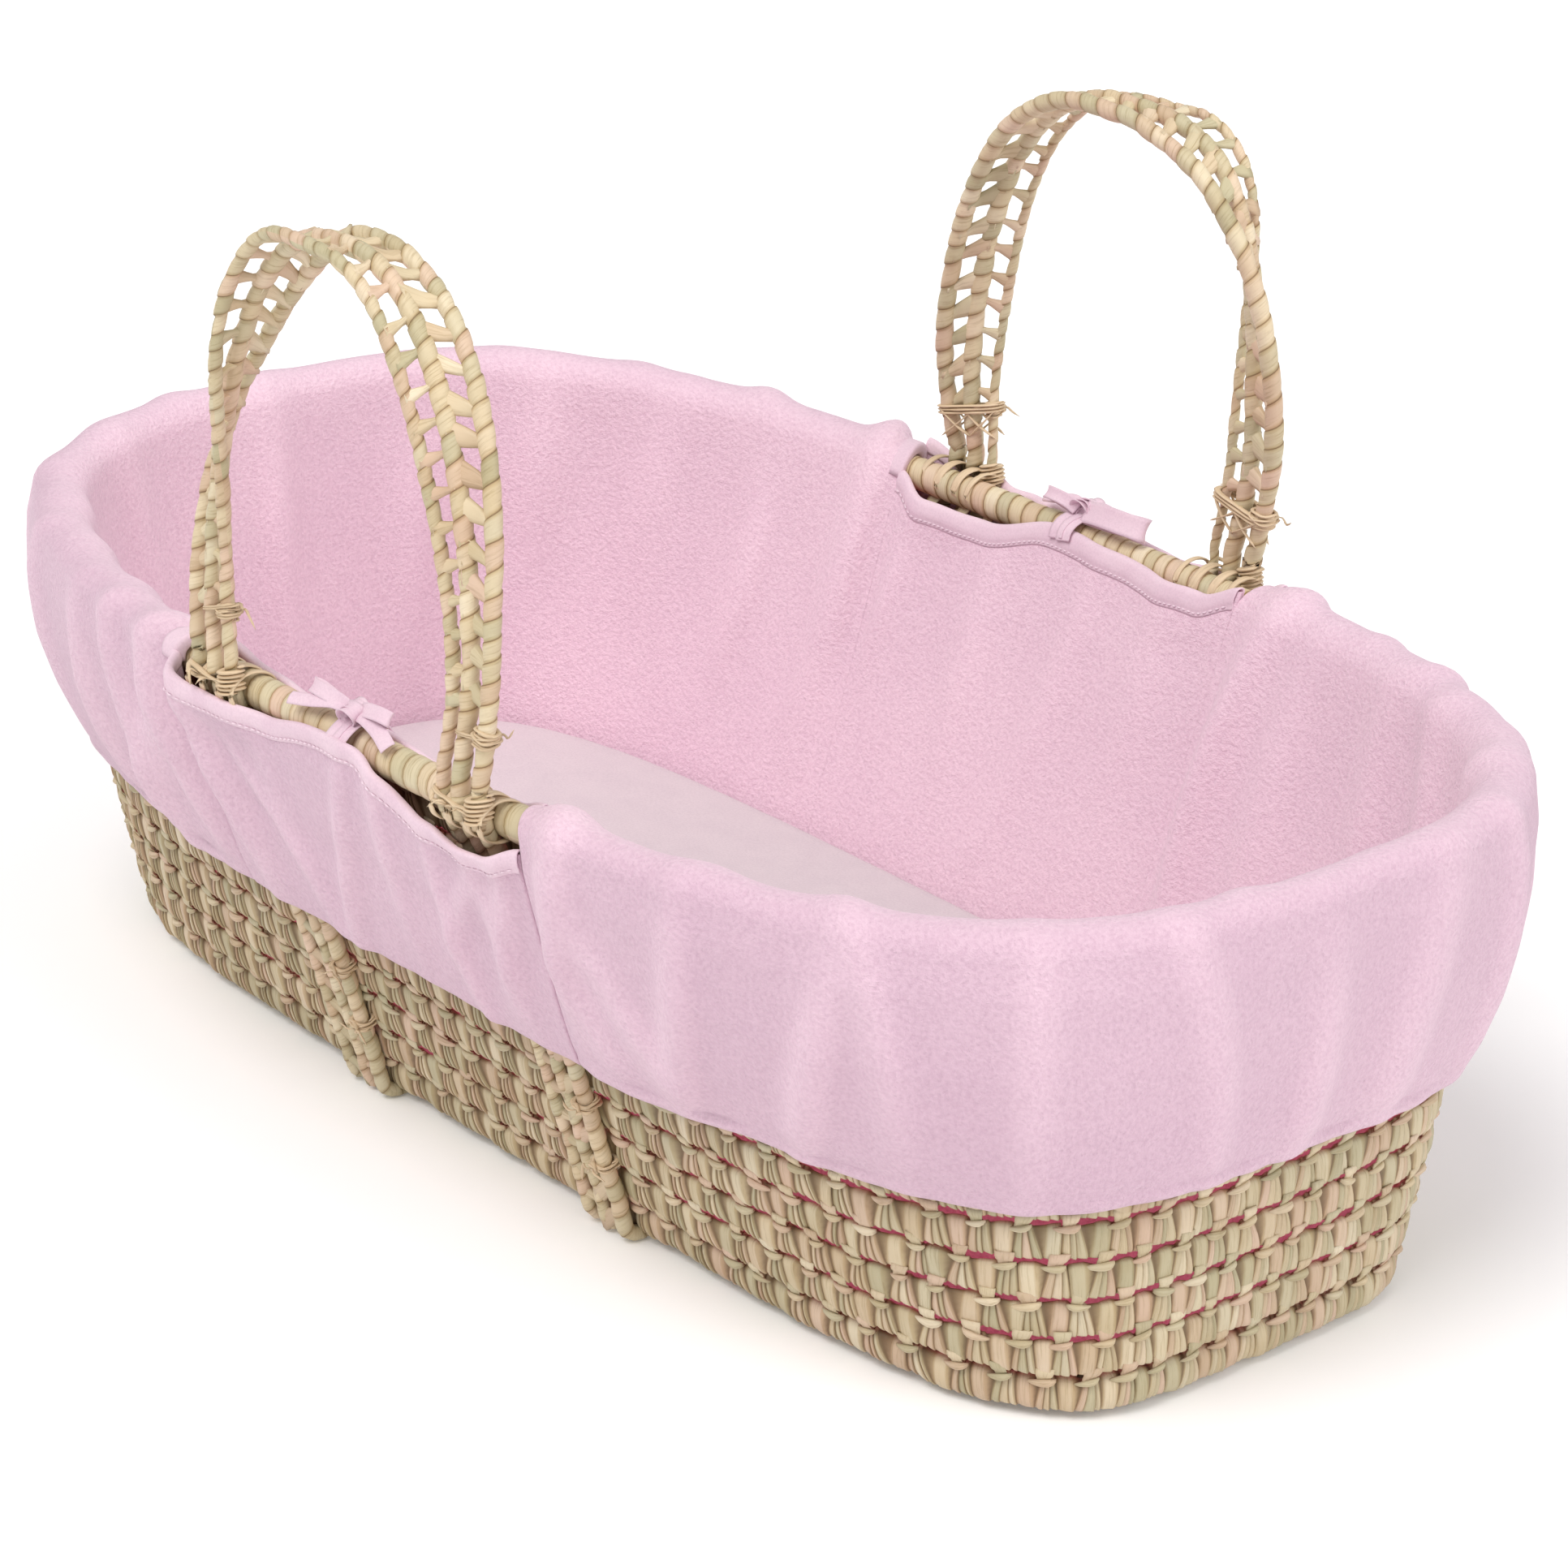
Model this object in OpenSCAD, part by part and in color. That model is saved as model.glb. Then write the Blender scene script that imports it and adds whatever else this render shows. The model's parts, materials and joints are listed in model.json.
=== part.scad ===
/* [Base] */
// Length of the base outline
base_len = 770; // [700:1:800]
// Width of the base outline
base_wid = 302; // [280:1:320]
// Squareness of the base outline, 2 is an ellipse
base_square = 4.8; // [4:0.1:5.5]
// Thickness of the coiled base mat
mat_thick = 12; // [10:0.5:14]
// Width of one coil of the base mat
mat_coil = 19; // [16:0.5:22]

/* [Coiled wall] */
// Length between the two ends of the rim coil's centre line
rim_len = 828; // [800:1:850]
// Width between the two sides of the rim coil's centre line
rim_wid = 470; // [450:1:480]
// Squareness of the rim outline, 2 is an ellipse
rim_square = 3.0; // [2.6:0.1:3.4]
// Height of the rim coil's centre line at the middle of a side
rim_height = 244; // [235:1:255]
// Extra height of the rim at the two ends
rim_rise = 8.5; // [0:0.5:12]
// Number of coils stacked in the wall
wall_rows = 10; // [10]
// Thickness of a wall coil
coil_thick = 9; // [8:0.5:10]
// Height of the coil where the base turns up into the wall
edge_coil_height = 23; // [20:0.5:26]
// Diameter of the wrapped rim coil
rim_coil_d = 18; // [16:0.5:18]
// Slot between the top wall coil and the rim coil
rim_slot = 2.4; // [1:0.1:3]

/* [Straps and handles] */
// Distance of each strap's middle from the middle of the basket
strap_x = 98; // [90:1:105]
// Diameter of the thick outer and middle cords
cord_d = 8.4; // [7:0.2:9]
// Diameter of the thin inner cord
thin_cord_d = 6.6; // [5:0.2:8]
// Distance of the two edge cords from the middle of the strap
edge_cord_offset = 15.8; // [14:0.1:17]
// Thickness of a strap cord pressed against the wall
strap_thick = 6.5; // [5:0.1:6.5]
// Thickness of a strap cord pressed flat under the base
strap_under = 5; // [4:0.1:5]
// Height of the pivot line where a handle bends, just above the rim
pivot_height = 262; // [262:0.5:264]
// Front handle: height of its top above the fold line
front_rise = 226; // [190:1:235]
// Front handle: half the distance between its legs
front_half = 104; // [100:1:108]
// Front handle: how far its top leans in over the basket
front_lean = 12; // [-10:1:20]
// Front handle: how far its top leans towards the foot end
front_sway = -5; // [-15:1:15]
// Front handle: how pointed the arch is, from square to round
front_power = 0.86; // [0.65:0.01:1]
// Back handle: height of its top above the fold line
back_rise = 215; // [190:1:235]
// Back handle: half the distance between its legs
back_half = 107; // [100:1:108]
// Back handle: how far its top leans in over the basket
back_lean = -2; // [-10:1:20]
// Back handle: how far its top leans towards the foot end
back_sway = 10; // [-15:1:15]
// Back handle: how pointed the arch is, from square to round
back_power = 0.7; // [0.65:0.01:1]
// Distance between two lacing strips along a handle
lacing_pitch = 17; // [14:0.5:24]

/* [Fleece cover] */
// Thickness of the fleece
fleece = 3.6; // [3:0.1:3.6]
// Height of the skirt's gathered hem
hem_height = 116; // [110:1:125]
// Distance from the middle to the end of each handle notch
notch_x = 132; // [130:1:138]
// Height of the bound edge at the bottom of a skirt notch
skirt_notch = 229; // [224:0.5:230]
// Height of the bound edge at the bottom of a lining notch
lining_notch = 236; // [230:0.5:238]
// Height of the cotton binding along a notch
binding_height = 5; // [4:0.5:6]

/* [Mattress] */
// Length of the made-up mattress
mattress_len = 740; // [700:1:742]
// Width of the made-up mattress
mattress_wid = 283; // [270:1:283]
// Thickness of the made-up mattress
mattress_thick = 47; // [35:1:50]
// Thickness of the fitted sheet
sheet_thick = 1.2; // [1:0.1:1.5]

/* [Hidden] */

// Colours
leaf = "#cfc094";
leaf_pale = "#dccfa6";
raffia = "#d8b98a";
pink_fleece = "#ecc3d8";
pink_cotton = "#f3d9e4";

// Outline of the wall
stations = 48;
middle_power = 2 / 3;
wall_bottom = edge_coil_height;
wall_top = rim_height - rim_coil_d / 2 - rim_slot;
row_height = (wall_top - wall_bottom) / wall_rows;
edge_coil_thick = 11;
edge_level = 6;

function mix(a, b, t) = a + (b - a) * t;
function half_len(z) = mix(base_len, rim_len, z / rim_height) / 2;
function half_wid(z) = mix(base_wid, rim_wid, z / rim_height) / 2;
function squareness(z) = mix(base_square, rim_square, z / rim_height);
function across(u, n) = pow(max(0, 1 - pow(abs(u), n)), 1 / n);
function along(t) = sign(cos(t)) * pow(abs(cos(t)), middle_power);
function raised(z, u) = z * (1 + rim_rise / rim_height * pow(abs(u), 3));

// Point on the wall's outer face: u runs from -1 to 1 along the length, side is -1 or 1,
// z is the height before the rise of the ends, and out is the distance outside the face
function wall_point(u, side, z, out) =
    [(half_len(z) + out) * u, side * (half_wid(z) + out) * across(u, squareness(z)), raised(z, u)];
function ring_point(t, z, out) = wall_point(along(t), sin(t) < 0 ? -1 : 1, z, out);

// Solids built from rows of points
function quad(a, b, c, d) = [[a, b, c], [a, c, d]];

// A curved sheet with thickness: outer and inner hold one list of points for each station,
// counted anticlockwise from above, and each list runs from the bottom edge to the top edge
module shell(outer, inner, closed = false) {
    ns = len(outer);
    nl = len(outer[0]);
    function o(s, l) = (s % ns) * nl + l;
    function i(s, l) = ns * nl + (s % ns) * nl + l;
    last = closed ? ns - 1 : ns - 2;
    top = nl - 1;
    end = ns - 1;
    points = concat([for (s = outer) each s], [for (s = inner) each s]);
    sides = [for (s = [0:last], l = [0:nl - 2]) each concat(
        quad(o(s, l), o(s, l + 1), o(s + 1, l + 1), o(s + 1, l)),
        quad(i(s, l), i(s + 1, l), i(s + 1, l + 1), i(s, l + 1)))];
    edges = [for (s = [0:last]) each concat(
        quad(o(s, 0), o(s + 1, 0), i(s + 1, 0), i(s, 0)),
        quad(o(s, top), i(s, top), i(s + 1, top), o(s + 1, top)))];
    ends = closed ? [] : [for (l = [0:nl - 2]) each concat(
        quad(i(0, l), i(0, l + 1), o(0, l + 1), o(0, l)),
        quad(i(end, l), o(end, l), o(end, l + 1), i(end, l + 1)))];
    polyhedron(points, concat(sides, edges, ends), convexity = 6);
}

// A tube through rings of points, with flat ends unless it is closed
module tube(rings, closed = false) {
    nr = len(rings);
    sides = len(rings[0]);
    function at(r, k) = (r % nr) * sides + (k % sides);
    last = closed ? nr - 1 : nr - 2;
    walls = [for (r = [0:last], k = [0:sides - 1]) each
        quad(at(r, k), at(r, k + 1), at(r + 1, k + 1), at(r + 1, k))];
    caps = closed ? [] : [
        [for (k = [0:sides - 1]) at(0, sides - 1 - k)],
        [for (k = [0:sides - 1]) at(nr - 1, k)]];
    polyhedron([for (r = rings) each r], concat(walls, caps), convexity = 6);
}

// Base and wall
strap_groove_wid = 2 * edge_cord_offset + cord_d + 2;
strap_groove = strap_under + 0.3;

function outline(z, out) =
    [for (k = [0:stations - 1]) let (p = ring_point(k * 360 / stations, z, out)) [p.x, p.y]];

module flat_ring(z, out, thick) {
    difference() {
        polygon(outline(z, out));
        polygon(outline(z, out - thick));
    }
}

module strap_grooves() {
    for (side = [-1, 1])
        translate([side * strap_x - strap_groove_wid / 2, -base_wid, -1])
            cube([strap_groove_wid, 2 * base_wid, 1 + strap_groove]);
}

mat_gap = 0.4;
mat_coils = 6;

module base_mat() {
    color(leaf)
        difference() {
            linear_extrude(mat_thick)
                for (k = [0:mat_coils]) {
                    out = -edge_coil_thick - mat_gap - k * mat_coil;
                    if (k < mat_coils)
                        flat_ring(edge_level, out, mat_coil - mat_gap);
                    else
                        polygon(outline(edge_level, out));
                }
            strap_grooves();
        }
}

module base_edge_coil() {
    color(leaf)
        difference() {
            linear_extrude(edge_coil_height)
                flat_ring(edge_level, 0, edge_coil_thick);
            strap_grooves();
        }
}

module wall_coil(row) {
    low = wall_bottom + (row - 1) * row_height;
    levels = [low, low + row_height];
    angles = [for (k = [0:stations - 1]) k * 360 / stations];
    color(row % 2 == 0 ? leaf : leaf_pale)
        shell(
            [for (t = angles) [for (z = levels) ring_point(t, z, 0)]],
            [for (t = angles) [for (z = levels) ring_point(t, z, -coil_thick)]],
            closed = true);
}

tube_sides = 8;

module rim_coil() {
    r = rim_coil_d / 2;
    color(leaf_pale)
        tube(
            [for (k = [0:stations - 1]) [for (j = [0:tube_sides - 1])
                let (a = -j * 360 / tube_sides)
                    ring_point(k * 360 / stations, rim_height + r * sin(a), r * cos(a))]],
            closed = true);
}

// Straps: each runs from the front rim down the wall, under the base and up to the back rim
wall_clearance = 0.4;
strap_top = pivot_height - 4.8;
strap_levels = [strap_top, 246, 240, 236, 228, 218, 180, 130, 80, edge_coil_height + 1];
strap_offsets = [[0, 0.4], [218, 0.4], [228, 4.5], [236, 8.1], [240, 9.9], [246, 8.9], [262, 4.4]];
edge_y = half_wid(edge_level) + wall_clearance;
corner = 5;

function strap_inner(z) = half_wid(z) + lookup(z, strap_offsets);
inner_side = concat(
    [for (z = strap_levels) [strap_inner(z), z]],
    [[edge_y, edge_coil_height - corner], [edge_y, strap_under]]);
outer_side = concat(
    [for (z = strap_levels) [strap_inner(z) + strap_thick, z]],
    [[edge_y + strap_thick, edge_coil_height - corner], [edge_y + strap_thick, corner],
     [edge_y + strap_thick - corner, 0]]);

function mirrored(list) = [for (k = [len(list) - 1:-1:0]) [-list[k][0], list[k][1]]];
function backwards(list) = [for (k = [len(list) - 1:-1:0]) list[k]];

// The band's section in the plane of Y and Z, as one closed outline
strap_outline = concat(
    outer_side,
    mirrored(outer_side),
    [for (p = inner_side) [-p[0], p[1]]],
    backwards(inner_side));

module strap_cord(x, wide) {
    translate([x - wide / 2, 0, 0])
        rotate([90, 0, 90])
            linear_extrude(wide)
                polygon(strap_outline);
}

// side is -1 for the left strap and 1 for the right one
module strap_cords(side) {
    color(leaf) {
        strap_cord(side * (strap_x - edge_cord_offset), thin_cord_d);
        strap_cord(side * strap_x, cord_d);
        strap_cord(side * (strap_x + edge_cord_offset), cord_d);
    }
}

lacing_wid = 5;
lacing_thick = 2.4;
lacing_gap = 0.4;

// Strips that cross from cord to cord on the flat of the wall, from the hem's height down
module strap_lacing(side) {
    from = 40;
    count = 9;
    color(leaf_pale)
        for (k = [0:count - 1], face = [-1, 1], gap = [[-1, cord_d, cord_d], [1, cord_d, thin_cord_d]]) {
            z = from + k * lacing_pitch;
            slope = atan((half_wid(z + 10) - half_wid(z)) / 10);
            near = gap[1] / 2 + lacing_gap;
            far = edge_cord_offset - gap[2] / 2 - lacing_gap;
            translate([side * (strap_x - gap[0] * (near + far) / 2),
                    face * (strap_inner(z) + strap_thick / 2), z])
                rotate([-face * slope, 0, 0])
                    cube([far - near, lacing_thick, lacing_wid], center = true);
        }
}

lash_thick = 1.8;
lash_wid = 6;

// Raffia bound over each leg and over the rim coil behind it
module rim_lashings() {
    arm = 4;
    half = strap_groove_wid / 2;
    face_y = strap_inner(249) + strap_thick + 0.4;
    top_z = rim_height + rim_coil_d / 2 + 0.2;
    inner_y = half_wid(rim_height) - rim_coil_d / 2;
    color(raffia)
        for (sx = [-1, 1], sy = [0, 1])
            mirror([0, sy, 0])
                translate([sx * strap_x, 0, 0]) {
                    translate([-half, face_y, top_z - lash_wid])
                        cube([2 * half, lash_thick, lash_wid + lash_thick]);
                    for (side = [-1, 1])
                        translate([side > 0 ? half : -half - arm, inner_y, top_z])
                            cube([arm, face_y + lash_thick - inner_y, lash_thick]);
                }
}

// Raffia ties that hold the foot-end cord of each strap to the wall
module wall_lashings() {
    width = cord_d + 2 * lash_thick + 0.6;
    color(raffia)
        for (sx = [-1, 1], sy = [0, 1], z = [46, 80]) {
            slope = atan((half_wid(z + 10) - half_wid(z)) / 10);
            mirror([0, sy, 0])
                translate([sx * strap_x + edge_cord_offset - width / 2, strap_inner(z), z])
                    rotate([-slope, 0, 0])
                        difference() {
                            cube([width, strap_thick + 0.4 + lash_thick, lash_wid]);
                            translate([lash_thick, -1, -1])
                                cube([width - 2 * lash_thick, strap_thick + 1.4, lash_wid + 2]);
                        }
        }
}

// Fleece cover
lining_gap = 1;
lining_hidden = -coil_thick - lining_gap;
lining_seen = lining_hidden - fleece;
lining_bottom = edge_coil_height + 0.3;
roll_r = rim_coil_d / 2 + 0.8;
skirt_profile = [[116, 1.6], [122, 3.4], [135, 6.7], [160, 10.7], [190, 13], [215, 12.9],
    [229, 12.6], [240, 10.6], [250, 9.9]];
hem_lift = 8;
hem_lift_height = 60;
bump_from = 140;
bump_to = 210;

function ease(t) = let (c = min(1, max(0, t))) c * c * (3 - 2 * c);
// The skirt stands off the wall where it passes over the straps
function strap_lift(x, z) = hem_lift * (1 - ease((abs(x) - bump_from) / (bump_to - bump_from)))
    * max(0, 1 - (z - hem_height) / hem_lift_height);
function skirt_hidden(x, z) = lookup(z, skirt_profile) + strap_lift(x, z);

// Heights of the bound edges along the side: high at the middle, low past each leg
flap_centre = 250;
function notch_edge(x, low) = let (
    ax = abs(x),
    fall = ease((ax - 14) / 34),
    lift = ease((ax - 114) / 18))
    mix(flap_centre, low, fall) + 8 * lift;

skirt_levels = [hem_height, 122, 135, 160, 190, 215, 235];
lining_levels = [lining_bottom, 60, 120, 180, 235];
roll_steps = 6;

// Section of an end cover, from the bottom of the lining over the rim to the hem
function cover_section(u, side, thick) = concat(
    [for (z = lining_levels) wall_point(u, side, z, lining_hidden - thick)],
    [for (k = [0:roll_steps]) let (a = 180 - k * 180 / roll_steps)
        wall_point(u, side, rim_height + (roll_r + thick) * sin(a), (roll_r + thick) * cos(a))],
    [for (z = backwards(skirt_levels))
        wall_point(u, side, z, skirt_hidden(half_len(z) * u, z) + thick)]);

notch_angle = acos(pow(notch_x / (rim_len / 2), 1 / middle_power));
station_angle = 360 / stations;
end_steps = floor(notch_angle / station_angle);
end_angles = concat(
    [-notch_angle], [for (k = [-end_steps:end_steps]) k * station_angle], [notch_angle]);

// end is 0 for the foot end at +X and 180 for the head end at -X
module end_cover(end) {
    angles = [for (a = end_angles) end + a];
    color(pink_fleece)
        shell(
            [for (t = angles) cover_section(along(t), sin(t) < 0 ? -1 : 1, 0)],
            [for (t = angles) cover_section(along(t), sin(t) < 0 ? -1 : 1, fleece)]);
}

flap_gap = 0.5;
flap_steps = 28;
flap_xs = [for (k = [0:flap_steps]) mix(flap_gap - notch_x, notch_x - flap_gap, k / flap_steps)];

// Point on a flap: x is measured at the rim, and the flap narrows towards the hem as the wall does
function flap_point(x, side, z, out) = wall_point(x / half_len(rim_height), side, z, out);

// Levels between bottom and the bound edge over x
function levels_to(levels, edge) = [for (k = [0:len(levels) - 1])
    mix(levels[0], edge, (levels[k] - levels[0]) / (levels[len(levels) - 1] - levels[0]))];

module skirt_flap(side) {
    xs = side < 0 ? flap_xs : backwards(flap_xs);
    color(pink_fleece)
        shell(
            [for (x = xs) [for (z = levels_to(skirt_levels, notch_edge(x, skirt_notch) - binding_height))
                flap_point(x, side, z, skirt_hidden(x, z) + fleece)]],
            [for (x = xs) [for (z = levels_to(skirt_levels, notch_edge(x, skirt_notch) - binding_height))
                flap_point(x, side, z, skirt_hidden(x, z))]]);
}

module lining_flap(side) {
    xs = side < 0 ? flap_xs : backwards(flap_xs);
    color(pink_fleece)
        shell(
            [for (x = xs) [for (z = levels_to(lining_levels, notch_edge(x, lining_notch) - binding_height))
                flap_point(x, side, z, lining_hidden)]],
            [for (x = xs) [for (z = levels_to(lining_levels, notch_edge(x, lining_notch) - binding_height))
                flap_point(x, side, z, lining_seen)]]);
}

module skirt_binding(side) {
    xs = side < 0 ? flap_xs : backwards(flap_xs);
    proud = 0.4;
    color(pink_cotton)
        shell(
            [for (x = xs) let (e = notch_edge(x, skirt_notch)) [for (z = [e - binding_height + 0.05, e])
                flap_point(x, side, z, skirt_hidden(x, z) + fleece + proud)]],
            [for (x = xs) let (e = notch_edge(x, skirt_notch)) [for (z = [e - binding_height + 0.05, e])
                flap_point(x, side, z, skirt_hidden(x, z))]]);
}

module lining_binding(side) {
    xs = side < 0 ? flap_xs : backwards(flap_xs);
    proud = 0.4;
    color(pink_cotton)
        shell(
            [for (x = xs) let (e = notch_edge(x, lining_notch)) [for (z = [e - binding_height + 0.05, e])
                flap_point(x, side, z, lining_hidden)]],
            [for (x = xs) let (e = notch_edge(x, lining_notch)) [for (z = [e - binding_height + 0.05, e])
                flap_point(x, side, z, lining_seen - proud)]]);
}

// Cotton tape tied in a bow over the rim
module tie(side) {
    tape_wid = 9;
    tape_thick = 1.4;
    knot = [12, 11, 8];
    loop_r = 13;
    loop_wid = 4.5;
    tail = 32;
    top_z = rim_height + rim_coil_d / 2 + 0.5;
    mid_y = half_wid(rim_height);
    reach = 13;
    color(pink_cotton)
        scale([1, side, 1]) {
            translate([-tape_wid / 2, mid_y - reach, top_z])
                cube([tape_wid, 2 * reach, tape_thick]);
            translate([-knot.x / 2, mid_y - knot.y / 2, top_z + tape_thick / 2])
                cube(knot);
            for (sx = [-1, 1]) {
                translate([sx * (knot.x / 2 + loop_r - 2), mid_y, top_z + 6])
                    cylinder(h = loop_wid, r = loop_r, center = true, $fn = 36);
                translate([sx * 3, mid_y, top_z + 2.4])
                    rotate([-7, 0, -sx * 30])
                        translate([-tape_wid / 2, 0, 0])
                            cube([tape_wid, tail, tape_thick]);
            }
        }
}

// Flat elastic behind the hem
module hem_elastic() {
    angles = [for (k = [0:stations - 1]) k * 360 / stations];
    levels = [hem_height + 1, hem_height + 5];
    elastic_thick = 0.6;
    behind = 0.6;
    color("white")
        shell(
            [for (t = angles) [for (z = levels)
                ring_point(t, z, skirt_hidden(half_len(z) * along(t), hem_height) - behind)]],
            [for (t = angles) [for (z = levels)
                ring_point(t, z, skirt_hidden(half_len(z) * along(t), hem_height) - behind - elastic_thick)]],
            closed = true);
}

// Handles: a flat strap of three cords that bends up over the rim and turns through a
// quarter circle between each leg and the top
pivot_y = half_wid(rim_height) + rim_coil_d / 2 + strap_thick / 2 + 1;
arch_steps = 12;
leg_pinch_height = 70;
twist_power = 0.45;
step_power = 1.6;
middle_offset = 0.8;

// Point of the middle line: a runs from -90 at the left pivot to 90 at the right one, 0 at the top
function of_handle(side, front, back) = side < 0 ? front : back;
function arch_point(a, side) = let (
    power = of_handle(side, front_power, back_power),
    half = of_handle(side, front_half, back_half),
    share = pow(cos(a), power),
    h = of_handle(side, front_rise, back_rise) * share,
    pinch = (half - strap_x) * pow(max(0, 1 - h / leg_pinch_height), 2),
    x = sign(a) * (half * pow(abs(sin(a)), power) - pinch)
        + of_handle(side, front_sway, back_sway) * pow(share, 2),
    y = pivot_y - of_handle(side, front_lean, back_lean) * share)
    [x, side * y, pivot_height + h];
function unit(v) = v / norm(v);
arch_delta = 0.02;
function arch_tangent(a, side) = let (c = min(90 - arch_delta, max(arch_delta - 90, a)))
    abs(a) > 89.9 ? [0, 0, -sign(a)]
    : unit(arch_point(c + arch_delta, side) - arch_point(c - arch_delta, side));
// One leg of each handle is banked further over than the other on its way up:
// the angle it is banked to, and how far up it gets there
front_bank = [122, 0.73];
back_bank = [104, 0.88];
function eased(t) = let (u = min(1, max(0, t))) u * u * (3 - 2 * u);
function twist(a, side) = let (
    t = 1 - abs(a) / 90,
    bank = of_handle(side, front_bank, back_bank))
    a * side > 0
    ? bank[0] * eased(t / bank[1]) + (90 - bank[0]) * eased((t - bank[1]) / (1 - bank[1]))
    : 90 * of_handle(side, eased(t), pow(t, twist_power));
// Direction across the strap, from the outer cord to the inner cord
function arch_across(a, side) = let (
    t = arch_tangent(a, side),
    y = [0, side, 0],
    out = unit(y - t * (y * t)),
    in = cross([0, 1, 0], t),
    inward = unit(in - t * (in * t) - out * (in * out)))
    cos(twist(a, side)) * inward + sin(twist(a, side)) * out;

arch_angles = [for (k = [-arch_steps:arch_steps])
    sign(k) * 90 * (1 - pow(1 - abs(k) / arch_steps, step_power))];

function cord_ring(a, side, offset, r, drop) = let (
    t = arch_tangent(a, side),
    w = arch_across(a, side),
    n = cross(t, w),
    c = arch_point(a, side) + offset * w - drop * [0, 0, 1])
    [for (k = [0:tube_sides - 1]) let (b = -k * 360 / tube_sides)
        c + r * (cos(b) * w + sin(b) * n)];

end_drop = 3.2;
end_taper = 0.55;

module handle_cord(side, offset, d) {
    r = d / 2;
    color(leaf_pale)
        tube(concat(
            [cord_ring(-90, side, offset, r * end_taper, end_drop)],
            [for (a = arch_angles) cord_ring(a, side, offset, r, 0)],
            [cord_ring(90, side, offset, r * end_taper, end_drop)]));
}

function frame_matrix(o, x, y, z) = [
    [x.x, y.x, z.x, o.x], [x.y, y.y, z.y, o.y], [x.z, y.z, z.z, o.z], [0, 0, 0, 1]];

// Puts its children at the arch: X across the strap, Y along it and Z through it
module at_arch(a, side, shift) {
    t = arch_tangent(a, side);
    w = arch_across(a, side);
    multmatrix(frame_matrix(arch_point(a, side) + shift * w, w, t, cross(w, t)))
        children();
}

// Arch angle at a height above the pivot line, on the leg given by leg = -1 or 1
function angle_at(h, leg, side) = leg
    * acos(pow(h / of_handle(side, front_rise, back_rise), 1 / of_handle(side, front_power, back_power)));

lacing_start = 32;
lacing_count = 30;
function lacing_angles(side) = [for (k = [0:lacing_count])
    let (s = mix(-1, 1, k / lacing_count))
    sign(s) * angle_at(lacing_start, 1, side) * (1 - pow(1 - abs(s), step_power))];

module handle_lacing(side) {
    r = cord_d / 2;
    gaps = [
        [-edge_cord_offset + r, middle_offset - r],
        [middle_offset + r, edge_cord_offset - thin_cord_d / 2]];
    color(leaf)
        for (a = lacing_angles(side), g = gaps)
            at_arch(a, side, (g[0] + g[1]) / 2)
                cube([g[1] - g[0] - 2 * lacing_gap, lacing_wid, lacing_thick], center = true);
}

// Raffia bound round the three cords a little above the pivot
module handle_lashings(side) {
    height = 20;
    wide = 2 * edge_cord_offset + cord_d + 1;
    deep = cord_d + 1;
    color(raffia)
        for (leg = [-1, 1])
            at_arch(angle_at(height, leg, side), side, -0.4)
                difference() {
                    cube([wide + 2 * lash_thick, lash_wid, deep + 2 * lash_thick], center = true);
                    cube([wide, lash_wid + 2, deep], center = true);
                }
}

// Mattress: soft foam that follows the slope of the wall, in a fitted sheet
mattress_bottom = mat_thick + 0.4;
mattress_rounding = 0.25;

// Outline of the mattress at a height above the floor, inset from the sheet's outer face
function mattress_ring(z, inset) = let (
    long = mattress_len / 2 + half_len(z) - half_len(edge_coil_height) - inset,
    wide = mattress_wid / 2 + half_wid(z) - half_wid(edge_coil_height) - inset,
    n = squareness(z) - mattress_rounding)
    [for (k = [0:stations - 1]) let (t = -k * 360 / stations, u = along(t))
        [long * u, (sin(t) < 0 ? -1 : 1) * wide * across(u, n), z]];

module mattress_block(inset) {
    tube([
        mattress_ring(mattress_bottom + inset, inset),
        mattress_ring(mattress_bottom + mattress_thick - inset, inset)]);
}

module mattress_foam() {
    gap = 0.1;
    color("#f4f1e6")
        mattress_block(sheet_thick + gap);
}

module fitted_sheet() {
    color("#f2dde4")
        difference() {
            mattress_block(0);
            mattress_block(sheet_thick);
        }
}

base_mat();
base_edge_coil();
wall_coil(1);  // wall_coil_01
wall_coil(2);  // wall_coil_02
wall_coil(3);  // wall_coil_03
wall_coil(4);  // wall_coil_04
wall_coil(5);  // wall_coil_05
wall_coil(6);  // wall_coil_06
wall_coil(7);  // wall_coil_07
wall_coil(8);  // wall_coil_08
wall_coil(9);  // wall_coil_09
wall_coil(10);  // wall_coil_10
rim_coil();
strap_cords(-1);  // left_strap_cords
strap_cords(1);  // right_strap_cords
strap_lacing(-1);  // left_strap_lacing
strap_lacing(1);  // right_strap_lacing
rim_lashings();
wall_lashings();
end_cover(180);  // head_end_cover
end_cover(0);  // foot_end_cover
skirt_flap(-1);  // front_skirt_flap
skirt_flap(1);  // back_skirt_flap
lining_flap(-1);  // front_lining_flap
lining_flap(1);  // back_lining_flap
skirt_binding(-1);  // front_skirt_binding
skirt_binding(1);  // back_skirt_binding
lining_binding(-1);  // front_lining_binding
lining_binding(1);  // back_lining_binding
tie(-1);  // front_tie
tie(1);  // back_tie
hem_elastic();
handle_cord(-1, edge_cord_offset, thin_cord_d);  // front_handle_inner_cord
handle_cord(-1, middle_offset, cord_d);  // front_handle_middle_cord
handle_cord(-1, -edge_cord_offset, cord_d);  // front_handle_outer_cord
handle_lacing(-1);  // front_handle_lacing
handle_lashings(-1);  // front_handle_lashings
handle_cord(1, edge_cord_offset, thin_cord_d);  // back_handle_inner_cord
handle_cord(1, middle_offset, cord_d);  // back_handle_middle_cord
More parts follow.
